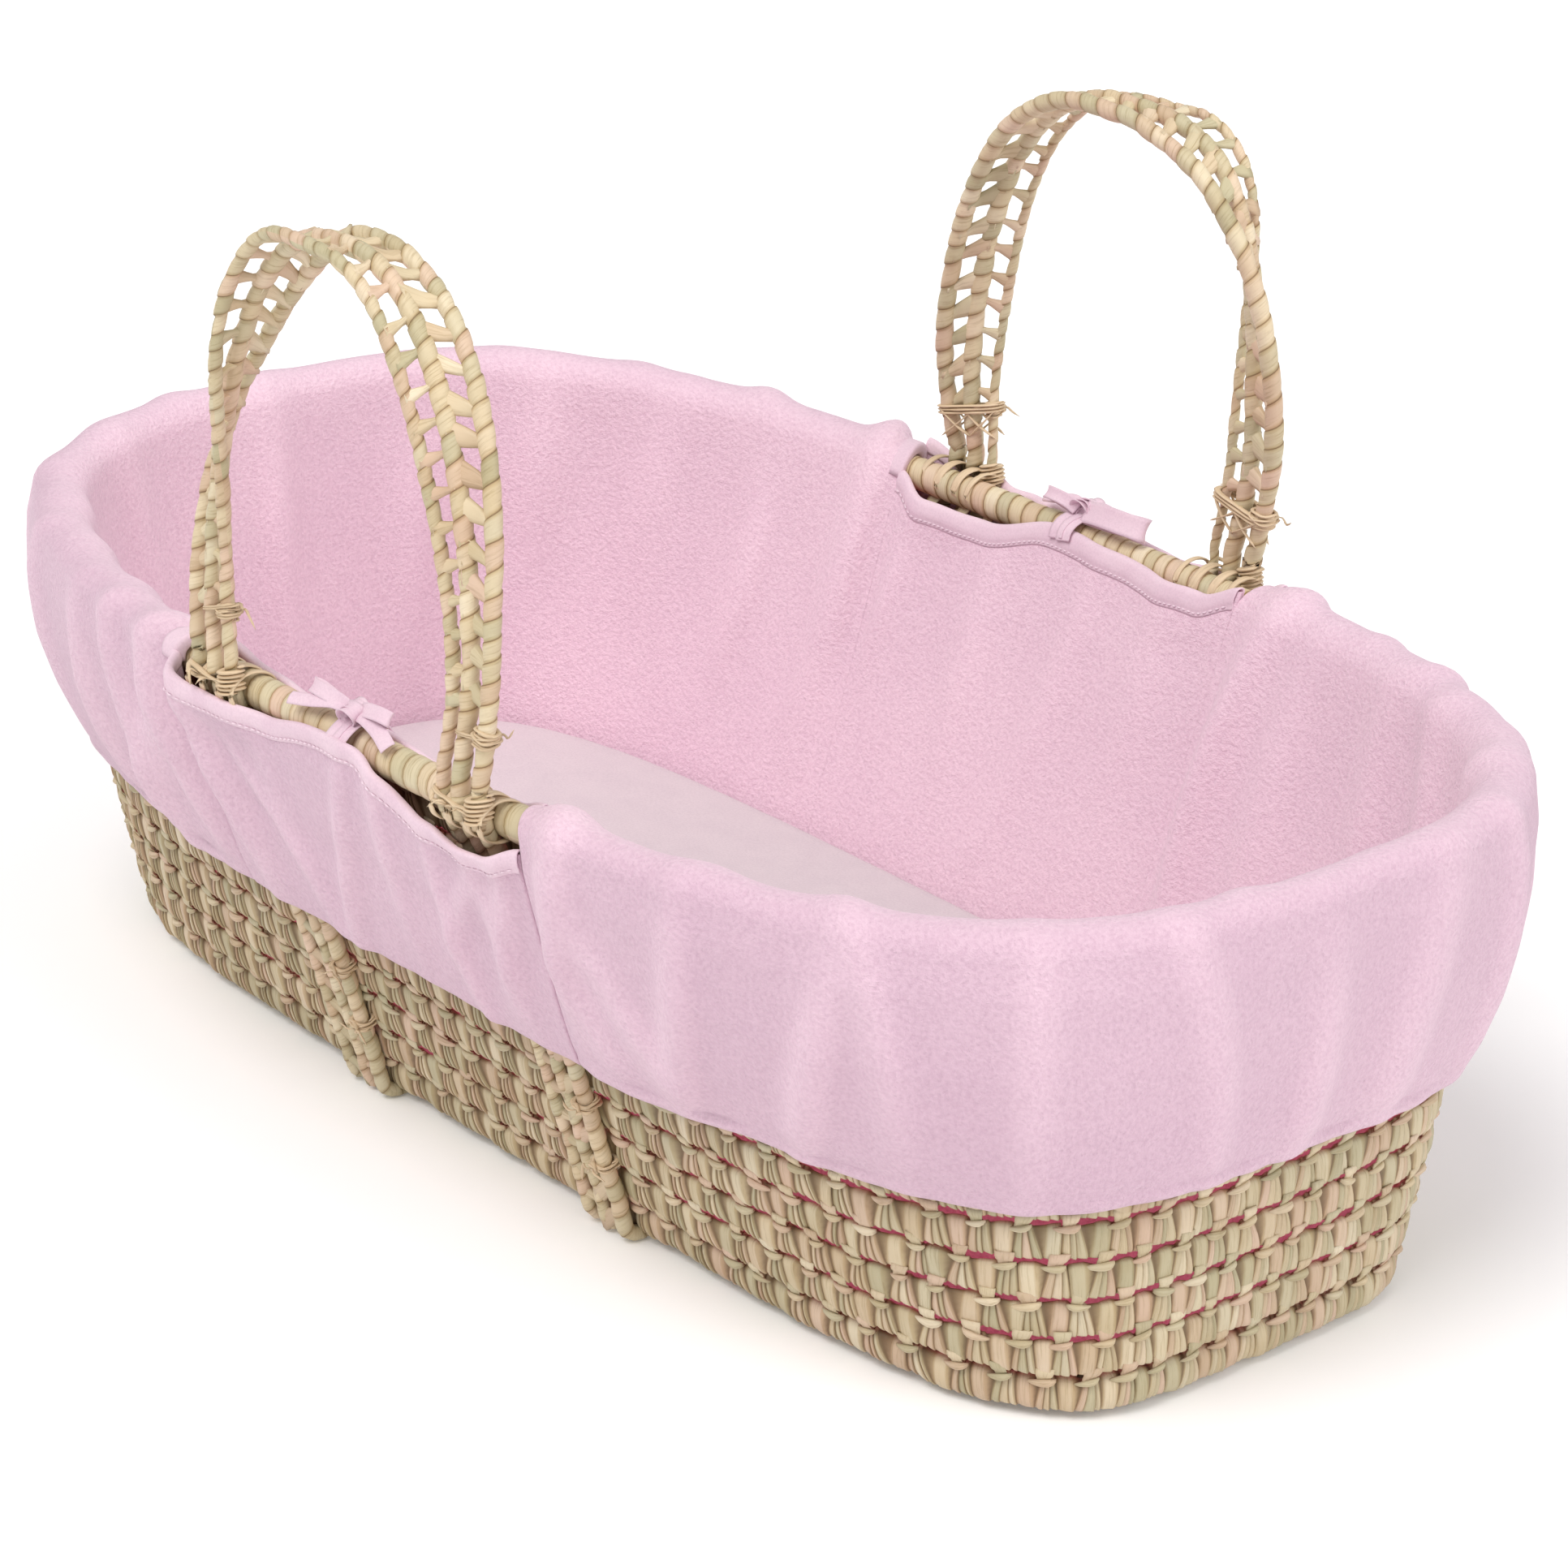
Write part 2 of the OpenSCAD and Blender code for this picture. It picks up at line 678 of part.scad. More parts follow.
handle_cord(1, -edge_cord_offset, cord_d);  // back_handle_outer_cord
handle_lacing(1);  // back_handle_lacing
handle_lashings(1);  // back_handle_lashings
mattress_foam();
fitted_sheet();
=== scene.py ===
"""A palm-leaf moses basket with laced handles, a fleece cover and a mattress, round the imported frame."""
import json
import math
import random

import bpy
import numpy as np
from mathutils import Matrix, Vector

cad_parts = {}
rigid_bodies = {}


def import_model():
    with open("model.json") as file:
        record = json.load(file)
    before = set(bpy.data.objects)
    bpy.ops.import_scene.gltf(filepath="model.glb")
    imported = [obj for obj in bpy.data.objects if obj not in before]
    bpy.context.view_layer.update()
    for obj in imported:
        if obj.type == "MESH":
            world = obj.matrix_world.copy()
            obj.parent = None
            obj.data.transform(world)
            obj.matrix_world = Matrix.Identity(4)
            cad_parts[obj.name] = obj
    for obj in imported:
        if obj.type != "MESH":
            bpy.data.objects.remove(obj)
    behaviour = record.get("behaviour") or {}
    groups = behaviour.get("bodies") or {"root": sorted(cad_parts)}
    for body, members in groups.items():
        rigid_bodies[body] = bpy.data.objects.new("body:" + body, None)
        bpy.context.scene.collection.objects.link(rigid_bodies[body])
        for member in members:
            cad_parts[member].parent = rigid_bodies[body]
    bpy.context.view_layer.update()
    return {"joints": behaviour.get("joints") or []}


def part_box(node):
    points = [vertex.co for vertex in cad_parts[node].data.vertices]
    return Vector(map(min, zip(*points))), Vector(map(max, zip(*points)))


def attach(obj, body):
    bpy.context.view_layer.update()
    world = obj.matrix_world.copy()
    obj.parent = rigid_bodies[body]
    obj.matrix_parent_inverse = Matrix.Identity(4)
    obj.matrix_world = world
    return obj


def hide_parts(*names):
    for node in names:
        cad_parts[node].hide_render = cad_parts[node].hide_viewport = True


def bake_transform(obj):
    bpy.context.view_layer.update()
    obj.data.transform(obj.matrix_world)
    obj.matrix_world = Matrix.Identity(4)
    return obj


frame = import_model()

MM = 0.001

# ---------------------------------------------------------------- camera, light and floor

CAMERA_AT = (1.788, -1.5296, 1.1633)
CAMERA_YAW, CAMERA_PITCH, CAMERA_ROLL = 48.866, 23.018, 1.664
SENSOR = 36.0
FOCAL_IN_WIDTHS = 3.2253


def add_camera():
    yaw, pitch, roll = (math.radians(a) for a in (CAMERA_YAW, CAMERA_PITCH, CAMERA_ROLL))
    back = Vector((math.sin(yaw) * math.cos(pitch), -math.cos(yaw) * math.cos(pitch), math.sin(pitch)))
    level = Vector((math.cos(yaw), math.sin(yaw), 0))
    rise = back.cross(level)
    right = math.cos(roll) * level + math.sin(roll) * rise
    up = back.cross(right)
    data = bpy.data.cameras.new("camera")
    data.sensor_width = SENSOR
    data.lens = FOCAL_IN_WIDTHS * SENSOR
    data.clip_start = 0.05
    camera = bpy.data.objects.new("camera", data)
    camera.matrix_world = Matrix((
        (right.x, up.x, back.x, CAMERA_AT[0]), (right.y, up.y, back.y, CAMERA_AT[1]),
        (right.z, up.z, back.z, CAMERA_AT[2]), (0, 0, 0, 1)))
    bpy.context.collection.objects.link(camera)
    bpy.context.scene.camera = camera


# Large soft lights, far off: the direction each comes from, how many degrees wide it is, and its strength
SOFTBOXES = {"key": ((0.05, -0.78, 1.3), 40, 1.98), "side": ((1.0, 0.35, 0.6), 50, 1.2)}
SKY_STRENGTH = 0.48
# the lightbox floor glows a little, which keeps the shadows pale
FLOOR_GLOW = 0.10


def add_studio():
    for name, (source, angle, strength) in SOFTBOXES.items():
        data = bpy.data.lights.new(name, "SUN")
        data.angle, data.energy, data.color = math.radians(angle), strength, (1, 0.99, 0.98)
        light = bpy.data.objects.new(name, data)
        light.rotation_euler = Vector(source).to_track_quat("Z", "Y").to_euler()
        bpy.context.collection.objects.link(light)
    world = bpy.data.worlds.new("studio")
    world.use_nodes = True
    background = world.node_tree.nodes["Background"]
    background.inputs["Color"].default_value = (1, 1, 1, 1)
    background.inputs["Strength"].default_value = SKY_STRENGTH
    bpy.context.scene.world = world
    bpy.context.scene.view_settings.view_transform = "Standard"
    side = 12.0
    mesh = bpy.data.meshes.new("floor")
    corners = [(x * side, y * side, 0) for x, y in ((-1, -1), (1, -1), (1, 1), (-1, 1))]
    mesh.from_pydata(corners, [], [(0, 1, 2, 3)])
    floor = bpy.data.objects.new("floor", mesh)
    bpy.context.collection.objects.link(floor)
    mesh.materials.append(floor_material())


# ---------------------------------------------------------------- materials

class Look:
    """A new material, with short ways to add nodes to it. A socket that is given as a value is linked."""

    def __init__(self, name):
        self.material = bpy.data.materials.new(name)
        self.material.use_nodes = True
        self.tree = self.material.node_tree
        self.shader = self.tree.nodes["Principled BSDF"]

    def feed(self, node, inputs):
        for key, value in inputs.items():
            if isinstance(value, bpy.types.NodeSocket):
                self.tree.links.new(value, node.inputs[key])
            else:
                node.inputs[key].default_value = value

    def node(self, kind, inputs=None, **settings):
        node = self.tree.nodes.new("ShaderNode" + kind)
        for key, value in settings.items():
            setattr(node, key, value)
        self.feed(node, inputs or {})
        return node

    def surface(self, **inputs):
        """Sets the shader's inputs, whose names are written with _ for each space."""
        self.feed(self.shader, {key.replace("_", " "): value for key, value in inputs.items()})

    def math(self, operation, *values):
        return self.node("Math", dict(enumerate(values)), operation=operation).outputs[0]

    def ramp(self, fac, *stops):
        node = self.node("ValToRGB", {"Fac": fac})
        elements = node.color_ramp.elements
        while len(elements) < len(stops):
            elements.new(0.5)
        for element, (at, colour) in zip(elements, stops):
            element.position = at
            element.color = (*colour, 1)
        return node.outputs["Color"]

    def mix(self, a, b, fac=1.0, blend="MULTIPLY"):
        a, b = ((*value, 1) if isinstance(value, tuple) else value for value in (a, b))
        return self.node("Mix", {0: fac, 6: a, 7: b}, data_type="RGBA", blend_type=blend).outputs[2]

    def noise(self, place, scale, detail=2.0, roughness=0.5):
        inputs = {"Scale": scale, "Detail": detail, "Roughness": roughness}
        if place is not None:
            inputs["Vector"] = place
        return self.node("TexNoise", inputs).outputs["Fac"]

    def place(self):
        return self.node("TexCoord").outputs["Object"]

    def mesh_shade(self):
        return self.node("Attribute", attribute_name="shade").outputs["Fac"]

    def bump(self, height, strength, distance):
        node = self.node("Bump", {"Strength": strength, "Distance": distance, "Height": height})
        self.surface(Normal=node.outputs[0])


def floor_material():
    look = Look("pale_floor")
    tone = look.ramp(look.noise(None, 3.0), (0, (0.93, 0.93, 0.93)), (1, (0.95, 0.95, 0.95)))
    look.surface(Base_Color=tone, Emission_Color=tone, Emission_Strength=FLOOR_GLOW, Roughness=0.7,
                 Specular_IOR_Level=0.1)
    return look.material


WHITE = (1, 1, 1)
LEAF_ROUGHNESS = 0.48
# painted shade: the brown that the mesh's shade mixes into the leaf's folds and hollows
PAINTED_FOLD_SHADE = (0.20, 0.135, 0.075)
LEAF_TONES = [
    (0.00, (0.47, 0.42, 0.27)), (0.16, (0.56, 0.48, 0.32)), (0.34, (0.64, 0.53, 0.36)),
    (0.50, (0.58, 0.44, 0.31)), (0.62, (0.65, 0.48, 0.365)), (0.76, (0.70, 0.60, 0.43)),
    (0.90, (0.49, 0.44, 0.29)), (1.00, (0.74, 0.64, 0.48))]


def leaf_material(name, tones, lift=1.0):
    """Strips of dry palm leaf. The UV map holds each strip's number plus the place across it, and the place
    along it."""
    look = Look(name)
    uv = look.node("UVMap", uv_map="strip").outputs["UV"]
    split = look.node("SeparateXYZ", {0: uv}).outputs
    strip = look.math("FLOOR", split["X"])
    across = look.math("FRACT", split["X"])
    chance = look.node("TexWhiteNoise", {"W": strip}, noise_dimensions="1D").outputs["Value"]
    base = look.ramp(chance, *((at, [min(1, c * lift) for c in tone]) for at, tone in tones))
    # fibres run along the strip, so the streaks are fine across it and long along it
    grain = look.node("CombineXYZ", {"X": look.math("MULTIPLY", split["X"], 9.0),
                                     "Y": look.math("MULTIPLY", split["Y"], 0.8)})
    streak = look.noise(grain.outputs[0], 1.0, 4.0, 0.65)
    streak_tone = look.ramp(streak, (0.25, (0.62, 0.56, 0.45)), (0.48, (0.98, 0.97, 0.95)), (0.8, WHITE))
    colour = look.mix(base, streak_tone, 0.85)
    # painted shade: each strip is a little darker towards its two edges, where the strips meet, and brown in
    # the folds and hollows that the mesh's shade marks
    edge = look.math("ABSOLUTE", look.math("SUBTRACT", across, 0.5))
    painted_edge_shade = look.ramp(edge, (0.30, WHITE), (0.45, (0.80, 0.73, 0.62)), (0.5, (0.30, 0.21, 0.13)))
    colour = look.mix(look.mix(colour, painted_edge_shade), PAINTED_FOLD_SHADE, look.mesh_shade(), "MIX")
    blotch = look.noise(look.place(), 26.0, 3.0)
    blotch_tone = look.ramp(blotch, (0.3, (0.90, 0.86, 0.80)), (0.55, WHITE), (0.75, (1, 0.97, 0.92)))
    gloss = look.node("MapRange", {"To Min": LEAF_ROUGHNESS - 0.1, "To Max": LEAF_ROUGHNESS + 0.18,
                                   "Value": streak})
    look.surface(Base_Color=look.mix(colour, blotch_tone), Roughness=gloss.outputs[0],
                 Specular_IOR_Level=0.42)
    look.bump(streak, 0.5, 0.6 * MM)
    return look.material


def fleece_material(name, colour, pit, pile=1.0, glow=0.0):
    """Plush fleece: a short pile that bunches into small tufts, with painted light: paler where the tips
    catch the light and darker in the pits.
    """
    look = Look(name)
    place = look.place()
    tufts = look.noise(place, 470.0, 3.0, 0.55)
    fibres = look.noise(place, 1700.0, 2.0, 0.6)
    nap = look.noise(place, 9.0, 4.0)
    tuft_tone = look.ramp(tufts, (0.25, pit), (0.6, colour), (0.85, [min(1, c * 1.04) for c in colour]))
    nap_tone = look.ramp(nap, (0.35, (0.955, 0.94, 0.955)), (0.65, WHITE))
    # painted shade: darker at the bottom of the folds, and a little darker all over the skirt's outside, as
    # the mesh's shade says
    painted_valley_shade = look.ramp(look.mesh_shade(), (0.0, WHITE), (1.0, (0.74, 0.70, 0.74)))
    tone = look.mix(look.mix(tuft_tone, nap_tone), painted_valley_shade)
    look.surface(Base_Color=tone, Roughness=0.95, Specular_IOR_Level=0.12, Sheen_Weight=0.42,
                 Sheen_Roughness=0.45, Sheen_Tint=(1, 0.93, 0.97, 1))
    look.bump(look.math("ADD", tufts, look.math("MULTIPLY", fibres, 0.35)), 0.7 * pile, 1.8 * MM)
    if glow:
        # painted light: the cloth glows, standing in for light that comes through it from its other side and
        # bounces in the gaps
        look.surface(Emission_Color=tone, Emission_Strength=glow)
    return look.material


def woven_material(name, colour, dark, thread=0.6 * MM, strength=0.25):
    """Fine plain-woven cotton, with faint slubs."""
    look = Look(name)
    place = look.place()
    slub_tone = look.ramp(look.noise(place, 60.0, 4.0), (0.3, dark), (0.6, colour))
    fine = look.noise(place, 0.5 / thread)
    thread_tone = look.ramp(fine, (0.3, (0.93, 0.92, 0.93)), (0.6, WHITE))
    look.surface(Base_Color=look.mix(slub_tone, thread_tone), Roughness=0.82, Specular_IOR_Level=0.2,
                 Sheen_Weight=0.1, Sheen_Roughness=0.5)
    look.bump(fine, strength, 0.4 * MM)
    return look.material


# ---------------------------------------------------------------- meshes

def make_piece(name, verts, quads, materials, ngons=(), uv=None, shade=None, slots=None):
    """A mesh object from arrays: verts (n, 3), quads (m, 4) and any other polygons. There may be a UV for
    each corner, a shade for each vertex and a material slot for each polygon."""
    mesh = bpy.data.meshes.new(name)
    verts = np.asarray(verts, float).reshape(-1, 3)
    quads = np.asarray(quads, int).reshape(-1, 4)
    sizes = np.concatenate([np.full(len(quads), 4), np.array([len(n) for n in ngons], int)]).astype(int)
    loops = np.concatenate([quads.ravel()] + [np.asarray(n, int) for n in ngons])
    mesh.vertices.add(len(verts))
    mesh.vertices.foreach_set("co", verts.ravel())
    mesh.loops.add(len(loops))
    mesh.loops.foreach_set("vertex_index", loops)
    mesh.polygons.add(len(sizes))
    mesh.polygons.foreach_set("loop_start", np.concatenate([[0], np.cumsum(sizes)[:-1]]))
    mesh.update(calc_edges=True)
    mesh.polygons.foreach_set("use_smooth", np.ones(len(sizes), bool))
    if slots is not None:
        mesh.polygons.foreach_set("material_index", np.asarray(slots, int))
    if uv is not None:
        layer = mesh.uv_layers.new(name="strip")
        layer.data.foreach_set("uv", np.asarray(uv, float).ravel())
    if shade is not None:
        layer = mesh.attributes.new("shade", "FLOAT", "POINT")
        layer.data.foreach_set("value", np.asarray(shade, float).ravel())
    for material in materials if isinstance(materials, (list, tuple)) else [materials]:
        mesh.materials.append(material)
    mesh.validate()
    piece = bpy.data.objects.new(name, mesh)
    bpy.context.collection.objects.link(piece)
    return piece


def grid_quads(rows, cols, close_rows=False, close_cols=False):
    """Quads of a grid of points, which may close on itself either way."""
    r = np.arange(rows if close_rows else rows - 1)
    c = np.arange(cols if close_cols else cols - 1)
    r, c = (a.ravel() for a in np.meshgrid(r, c, indexing="ij"))
    r2, c2 = (r + 1) % rows, (c + 1) % cols
    return np.stack([r * cols + c, r2 * cols + c, r2 * cols + c2, r * cols + c2], -1)


def signed_volume(verts, quads):
    a, b, c, d = (verts[quads[:, k]] - verts.mean(0) for k in range(4))
    return (np.einsum("ij,ij->i", a, np.cross(b, c)) + np.einsum("ij,ij->i", a, np.cross(c, d))).sum()


class Parts:
    """Collects separate closed shapes into one mesh."""

    def __init__(self):
        self.verts, self.quads, self.ngons, self.shade, self.count = [], [], [], [], 0
        self.quad_uv, self.ngon_uv = [], []

    def add(self, verts, quads, ngons=(), uv=None, shade=0.0, quad_uv=None):
        """One closed shape. Its UV is given for each vertex, or for each quad's corners by quad_uv."""
        verts = np.asarray(verts, float).reshape(-1, 3)
        quads = np.asarray(quads, int).reshape(-1, 4)
        uv = np.zeros((len(verts), 2)) if uv is None else np.asarray(uv, float).reshape(-1, 2)
        quad_uv = uv[quads] if quad_uv is None else quad_uv
        if signed_volume(verts, quads) < 0:
            quads, quad_uv, ngons = quads[:, ::-1], quad_uv[:, ::-1], [list(ngon)[::-1] for ngon in ngons]
        self.verts.append(verts)
        self.quads.append(quads + self.count)
        self.quad_uv.append(quad_uv.reshape(-1, 2))
        self.ngon_uv += [uv[np.asarray(ngon, int)] for ngon in ngons]
        self.ngons += [[i + self.count for i in ngon] for ngon in ngons]
        self.shade.append(np.broadcast_to(np.asarray(shade, float).ravel(), (len(verts),)))
        self.count += len(verts)

    def piece(self, name, materials):
        return make_piece(name, np.concatenate(self.verts), np.concatenate(self.quads), materials, self.ngons,
                          np.concatenate(self.quad_uv + self.ngon_uv), np.concatenate(self.shade))


def unit(v):
    return v / np.maximum(np.linalg.norm(v, axis=-1, keepdims=True), 1e-12)


def mix(a, b, t):
    return a + (b - a) * t


def smooth_step(t):
    t = np.clip(t, 0, 1)
    return t * t * (3 - 2 * t)


def signed_power(v, power):
    """v to a power below or above 1, with its sign kept: it squares or sharpens a round outline."""
    return np.sign(v) * np.abs(v) ** power


def hill(distance, width):
    return np.exp(-(distance / width) ** 2)


def columns_at(s, at, table):
    """Each column of a table at the places s, where at holds the place of each row."""
    return np.stack([np.interp(s, at, table[:, k]) for k in range(table.shape[1])], -1)


def wander(seed, length, shortest, amplitude, closed=True):
    """A smooth random function of a distance, made of waves that are not shorter than shortest."""
    rng = np.random.default_rng(seed)
    top = max(2, int(length / shortest))
    orders = np.arange(1, top + 1) if closed else np.arange(1, top + 1) * 0.5 + 0.27
    phases = rng.uniform(0, 2 * math.pi, len(orders))
    sizes = rng.uniform(0.4, 1.0, len(orders)) / np.sqrt(len(orders))

    def value(s):
        s = np.asarray(s, float)[..., None]
        return amplitude * (sizes * np.cos(2 * math.pi * orders * s / length + phases)).sum(-1)
    return value


# ---------------------------------------------------------------- sizes, from the frame

RIM_R = 9 * MM
EDGE_LEVEL = 6 * MM
BASE_SQUARE, RIM_SQUARE = 4.8, 3.0
rim_low, rim_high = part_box("rim_coil")
edge_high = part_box("base_edge_coil")[1]
RIM_Z = rim_low.z + RIM_R
RIM_HALF = (rim_high.x - RIM_R, rim_high.y - RIM_R)
EDGE_HALF = (edge_high.x, edge_high.y)
RISE = rim_high.z / (RIM_Z + RIM_R) - 1
WALL_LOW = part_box("wall_coil_01")[0].z
WALL_HIGH = RIM_Z - RIM_R - 2.4 * MM
ROWS = sum(name.startswith("wall_coil_") for name in (o.name for o in bpy.data.objects))
ROW_PITCH = (WALL_HIGH - WALL_LOW) / ROWS


def half_size(axis, z):
    return mix(EDGE_HALF[axis], RIM_HALF[axis], (z - EDGE_LEVEL) / (RIM_Z - EDGE_LEVEL))


def squareness(z):
    return mix(BASE_SQUARE, RIM_SQUARE, z / RIM_Z)


def outline_reach(c, s, n):
    """How far a squared circle of power n reaches from its middle in the direction (c, s)."""
    return (np.abs(c) ** n + np.abs(s) ** n) ** (-1 / n)


def wall(phi, z, out=0.0):
    """Point on the wall's outer face: phi goes round from +X, and out is how far outside the face it lies."""
    phi, z, out = np.broadcast_arrays(np.asarray(phi, float), z, out)
    c, s = np.cos(phi), np.sin(phi)
    rho = outline_reach(c, s, squareness(z))
    u = c * rho
    return np.stack([(half_size(0, z) + out) * u, (half_size(1, z) + out) * s * rho,
                     z * (1 + RISE * np.abs(u) ** 3)], -1)


def wall_frame(phi, z, out=0.0):
    """The wall's point, with the directions along the rows, up the wall and out of it."""
    step = 0.1 * MM
    along = unit(wall(phi + step, z, out) - wall(phi - step, z, out))
    rise = wall(phi, z + step, out) - wall(phi, z - step, out)
    outward = unit(np.cross(along, rise))
    return wall(phi, z, out), along, np.cross(outward, along), outward


LOOP_PHI = np.linspace(-2 * math.pi, 4 * math.pi, 10801)
LOOP_S = np.concatenate([[0], np.cumsum(np.linalg.norm(np.diff(wall(LOOP_PHI, 0.12), axis=0), axis=1))])
LOOP_LENGTH = LOOP_S[-1] / 3
LOOP_S -= LOOP_LENGTH


def phi_at(turns):
    """The angle phi at a share of the way round, by length along the wall."""
    return np.interp(np.asarray(turns) * LOOP_LENGTH, LOOP_S, LOOP_PHI)


# ---------------------------------------------------------------- rows of wound leaf

UNIT = 23 * MM
UNITS = round(LOOP_LENGTH / UNIT)
ROW_GAP = 4.8 * MM
knot_rng = np.random.default_rng(11)
# knots[row] lie on the upper edge of that row; row -1 is the coil at the edge of the base
knots = {row: np.arange(UNITS) + 0.5 * (row % 2) + knot_rng.uniform(-0.12, 0.12, UNITS)
         for row in range(-2, ROWS)}

# Each column of a strip: the place across it and how far it stands out, in mm
FAN = [(0.05, -0.38), (0.42, 0.30), (0.90, 0.62)]
PLAIN = [(0.04, -0.30), (0.28, 0.38), (0.60, 0.66), (0.93, 0.78)]
RECESS = -1.15


def section(around, power):
    """Unit outline of a flattened coil, from its outer side over the top: across the wall and up it."""
    b = np.arange(around) * 2 * math.pi / around
    return signed_power(np.cos(b), 2 / power), signed_power(np.sin(b), 2 / power)


def ring_tube(parts, rings, strip, stretch):
    """Closed tubes: rings is (tubes, rings, points, 3), and strip numbers the leaf that each is made of."""
    count, nr, npts, _ = rings.shape
    quad = grid_quads(nr, npts, close_cols=True)[:, [0, 3, 2, 1]]
    quads = (quad[None] + (np.arange(count) * nr * npts)[:, None, None]).reshape(-1, 4)
    ngons = []
    for k in range(count):
        first, last = k * nr * npts, k * nr * npts + (nr - 1) * npts
        ngons += [list(range(first + npts - 1, first - 1, -1)), list(range(last, last + npts))]
    around = 0.15 + 0.7 * (0.5 - 0.5 * np.cos(np.arange(npts) / npts * 2 * math.pi))
    u = np.asarray(strip, float)[:, None, None] + around[None, None, :] + np.zeros((count, nr, 1))
    v = np.broadcast_to(np.linspace(0, stretch, nr)[None, :, None], u.shape)
    parts.add(rings.reshape(-1, 3), quads, ngons, np.stack([u, v], -1))


def place(local, frames):
    """Local points (..., 3), along, up and out, set at each of the frames."""
    at, along, up, out = frames
    extra = (slice(None),) + (None,) * (local.ndim - 2)
    return (at[extra] + local[..., 0:1] * along[extra] + local[..., 1:2] * up[extra]
            + local[..., 2:3] * out[extra])


def for_rings(*values):
    """One size in mm for each ring of a tube."""
    return np.array(values)[:, None] * MM


KNOT_ALONG = for_rings(-6.2, -4.4, -2.2, 0.0, 2.0, 3.6, 4.6)
KNOT_HIGH = for_rings(0.5, 1.15, 1.6, 1.85, 1.85, 1.5, 0.8)
KNOT_DEEP = for_rings(0.35, 0.8, 1.1, 1.35, 1.35, 1.05, 0.6)
KNOT_OUT = for_rings(-1.9, -0.9, -0.1, 0.35, 0.3, -0.4, -1.5)
BRIDGE_UP = for_rings(6.5, 4.2, 2.2, 0.6, -1.0, -2.6)
BRIDGE_OUT = for_rings(0.75, 1.05, 0.7, -0.5, -0.8, -0.3)
BRIDGE_WIDE = for_rings(4.3, 4.2, 3.7, 3.3, 3.0, 2.8)


def add_knots(parts, row, z, out, strip, rng):
    """The leaf that comes down from the row above at each unit, with its loop over this row's edge."""
    turns = knots[row] / UNITS
    count = len(turns)
    frames = wall_frame(phi_at(turns), np.full(count, z), np.full(count, out))
    size = rng.uniform(0.9, 1.35, (count, 1, 1))
    ring = np.arange(8) * 2 * math.pi / 8
    tilt = rng.uniform(0.05, 0.32, (count, 1, 1))
    flip = np.where(rng.random((count, 1, 1)) < 0.12, -1.0, 1.0)
    along = KNOT_ALONG * size * flip + 0 * ring
    up = -2.2 * MM + tilt * KNOT_ALONG + KNOT_HIGH * np.sin(ring) * size
    outward = KNOT_OUT + KNOT_DEEP * np.cos(ring) * (1 + 0.16 * np.cos(3 * ring)) * size
    ring_tube(parts, place(np.stack([along, up, outward], -1), frames), strip + np.arange(count), 1.4)
    wide = rng.uniform(0.85, 1.1, (count, 1, 1))
    across = np.concatenate([np.linspace(-1, 1, 5), np.linspace(1, -1, 5)])
    crown = np.concatenate([np.array([0.0, 0.3, 0.4, 0.3, 0.0]), np.full(5, -0.65)]) * MM
    lean = rng.uniform(-0.25, 0.35, (count, 1, 1))
    along = BRIDGE_WIDE * across * wide + lean * BRIDGE_UP
    up = BRIDGE_UP + 0 * along
    outward = BRIDGE_OUT + crown + 0 * along
    ring_tube(parts, place(np.stack([along, up, outward], -1), frames), strip + count + np.arange(count), 1.0)


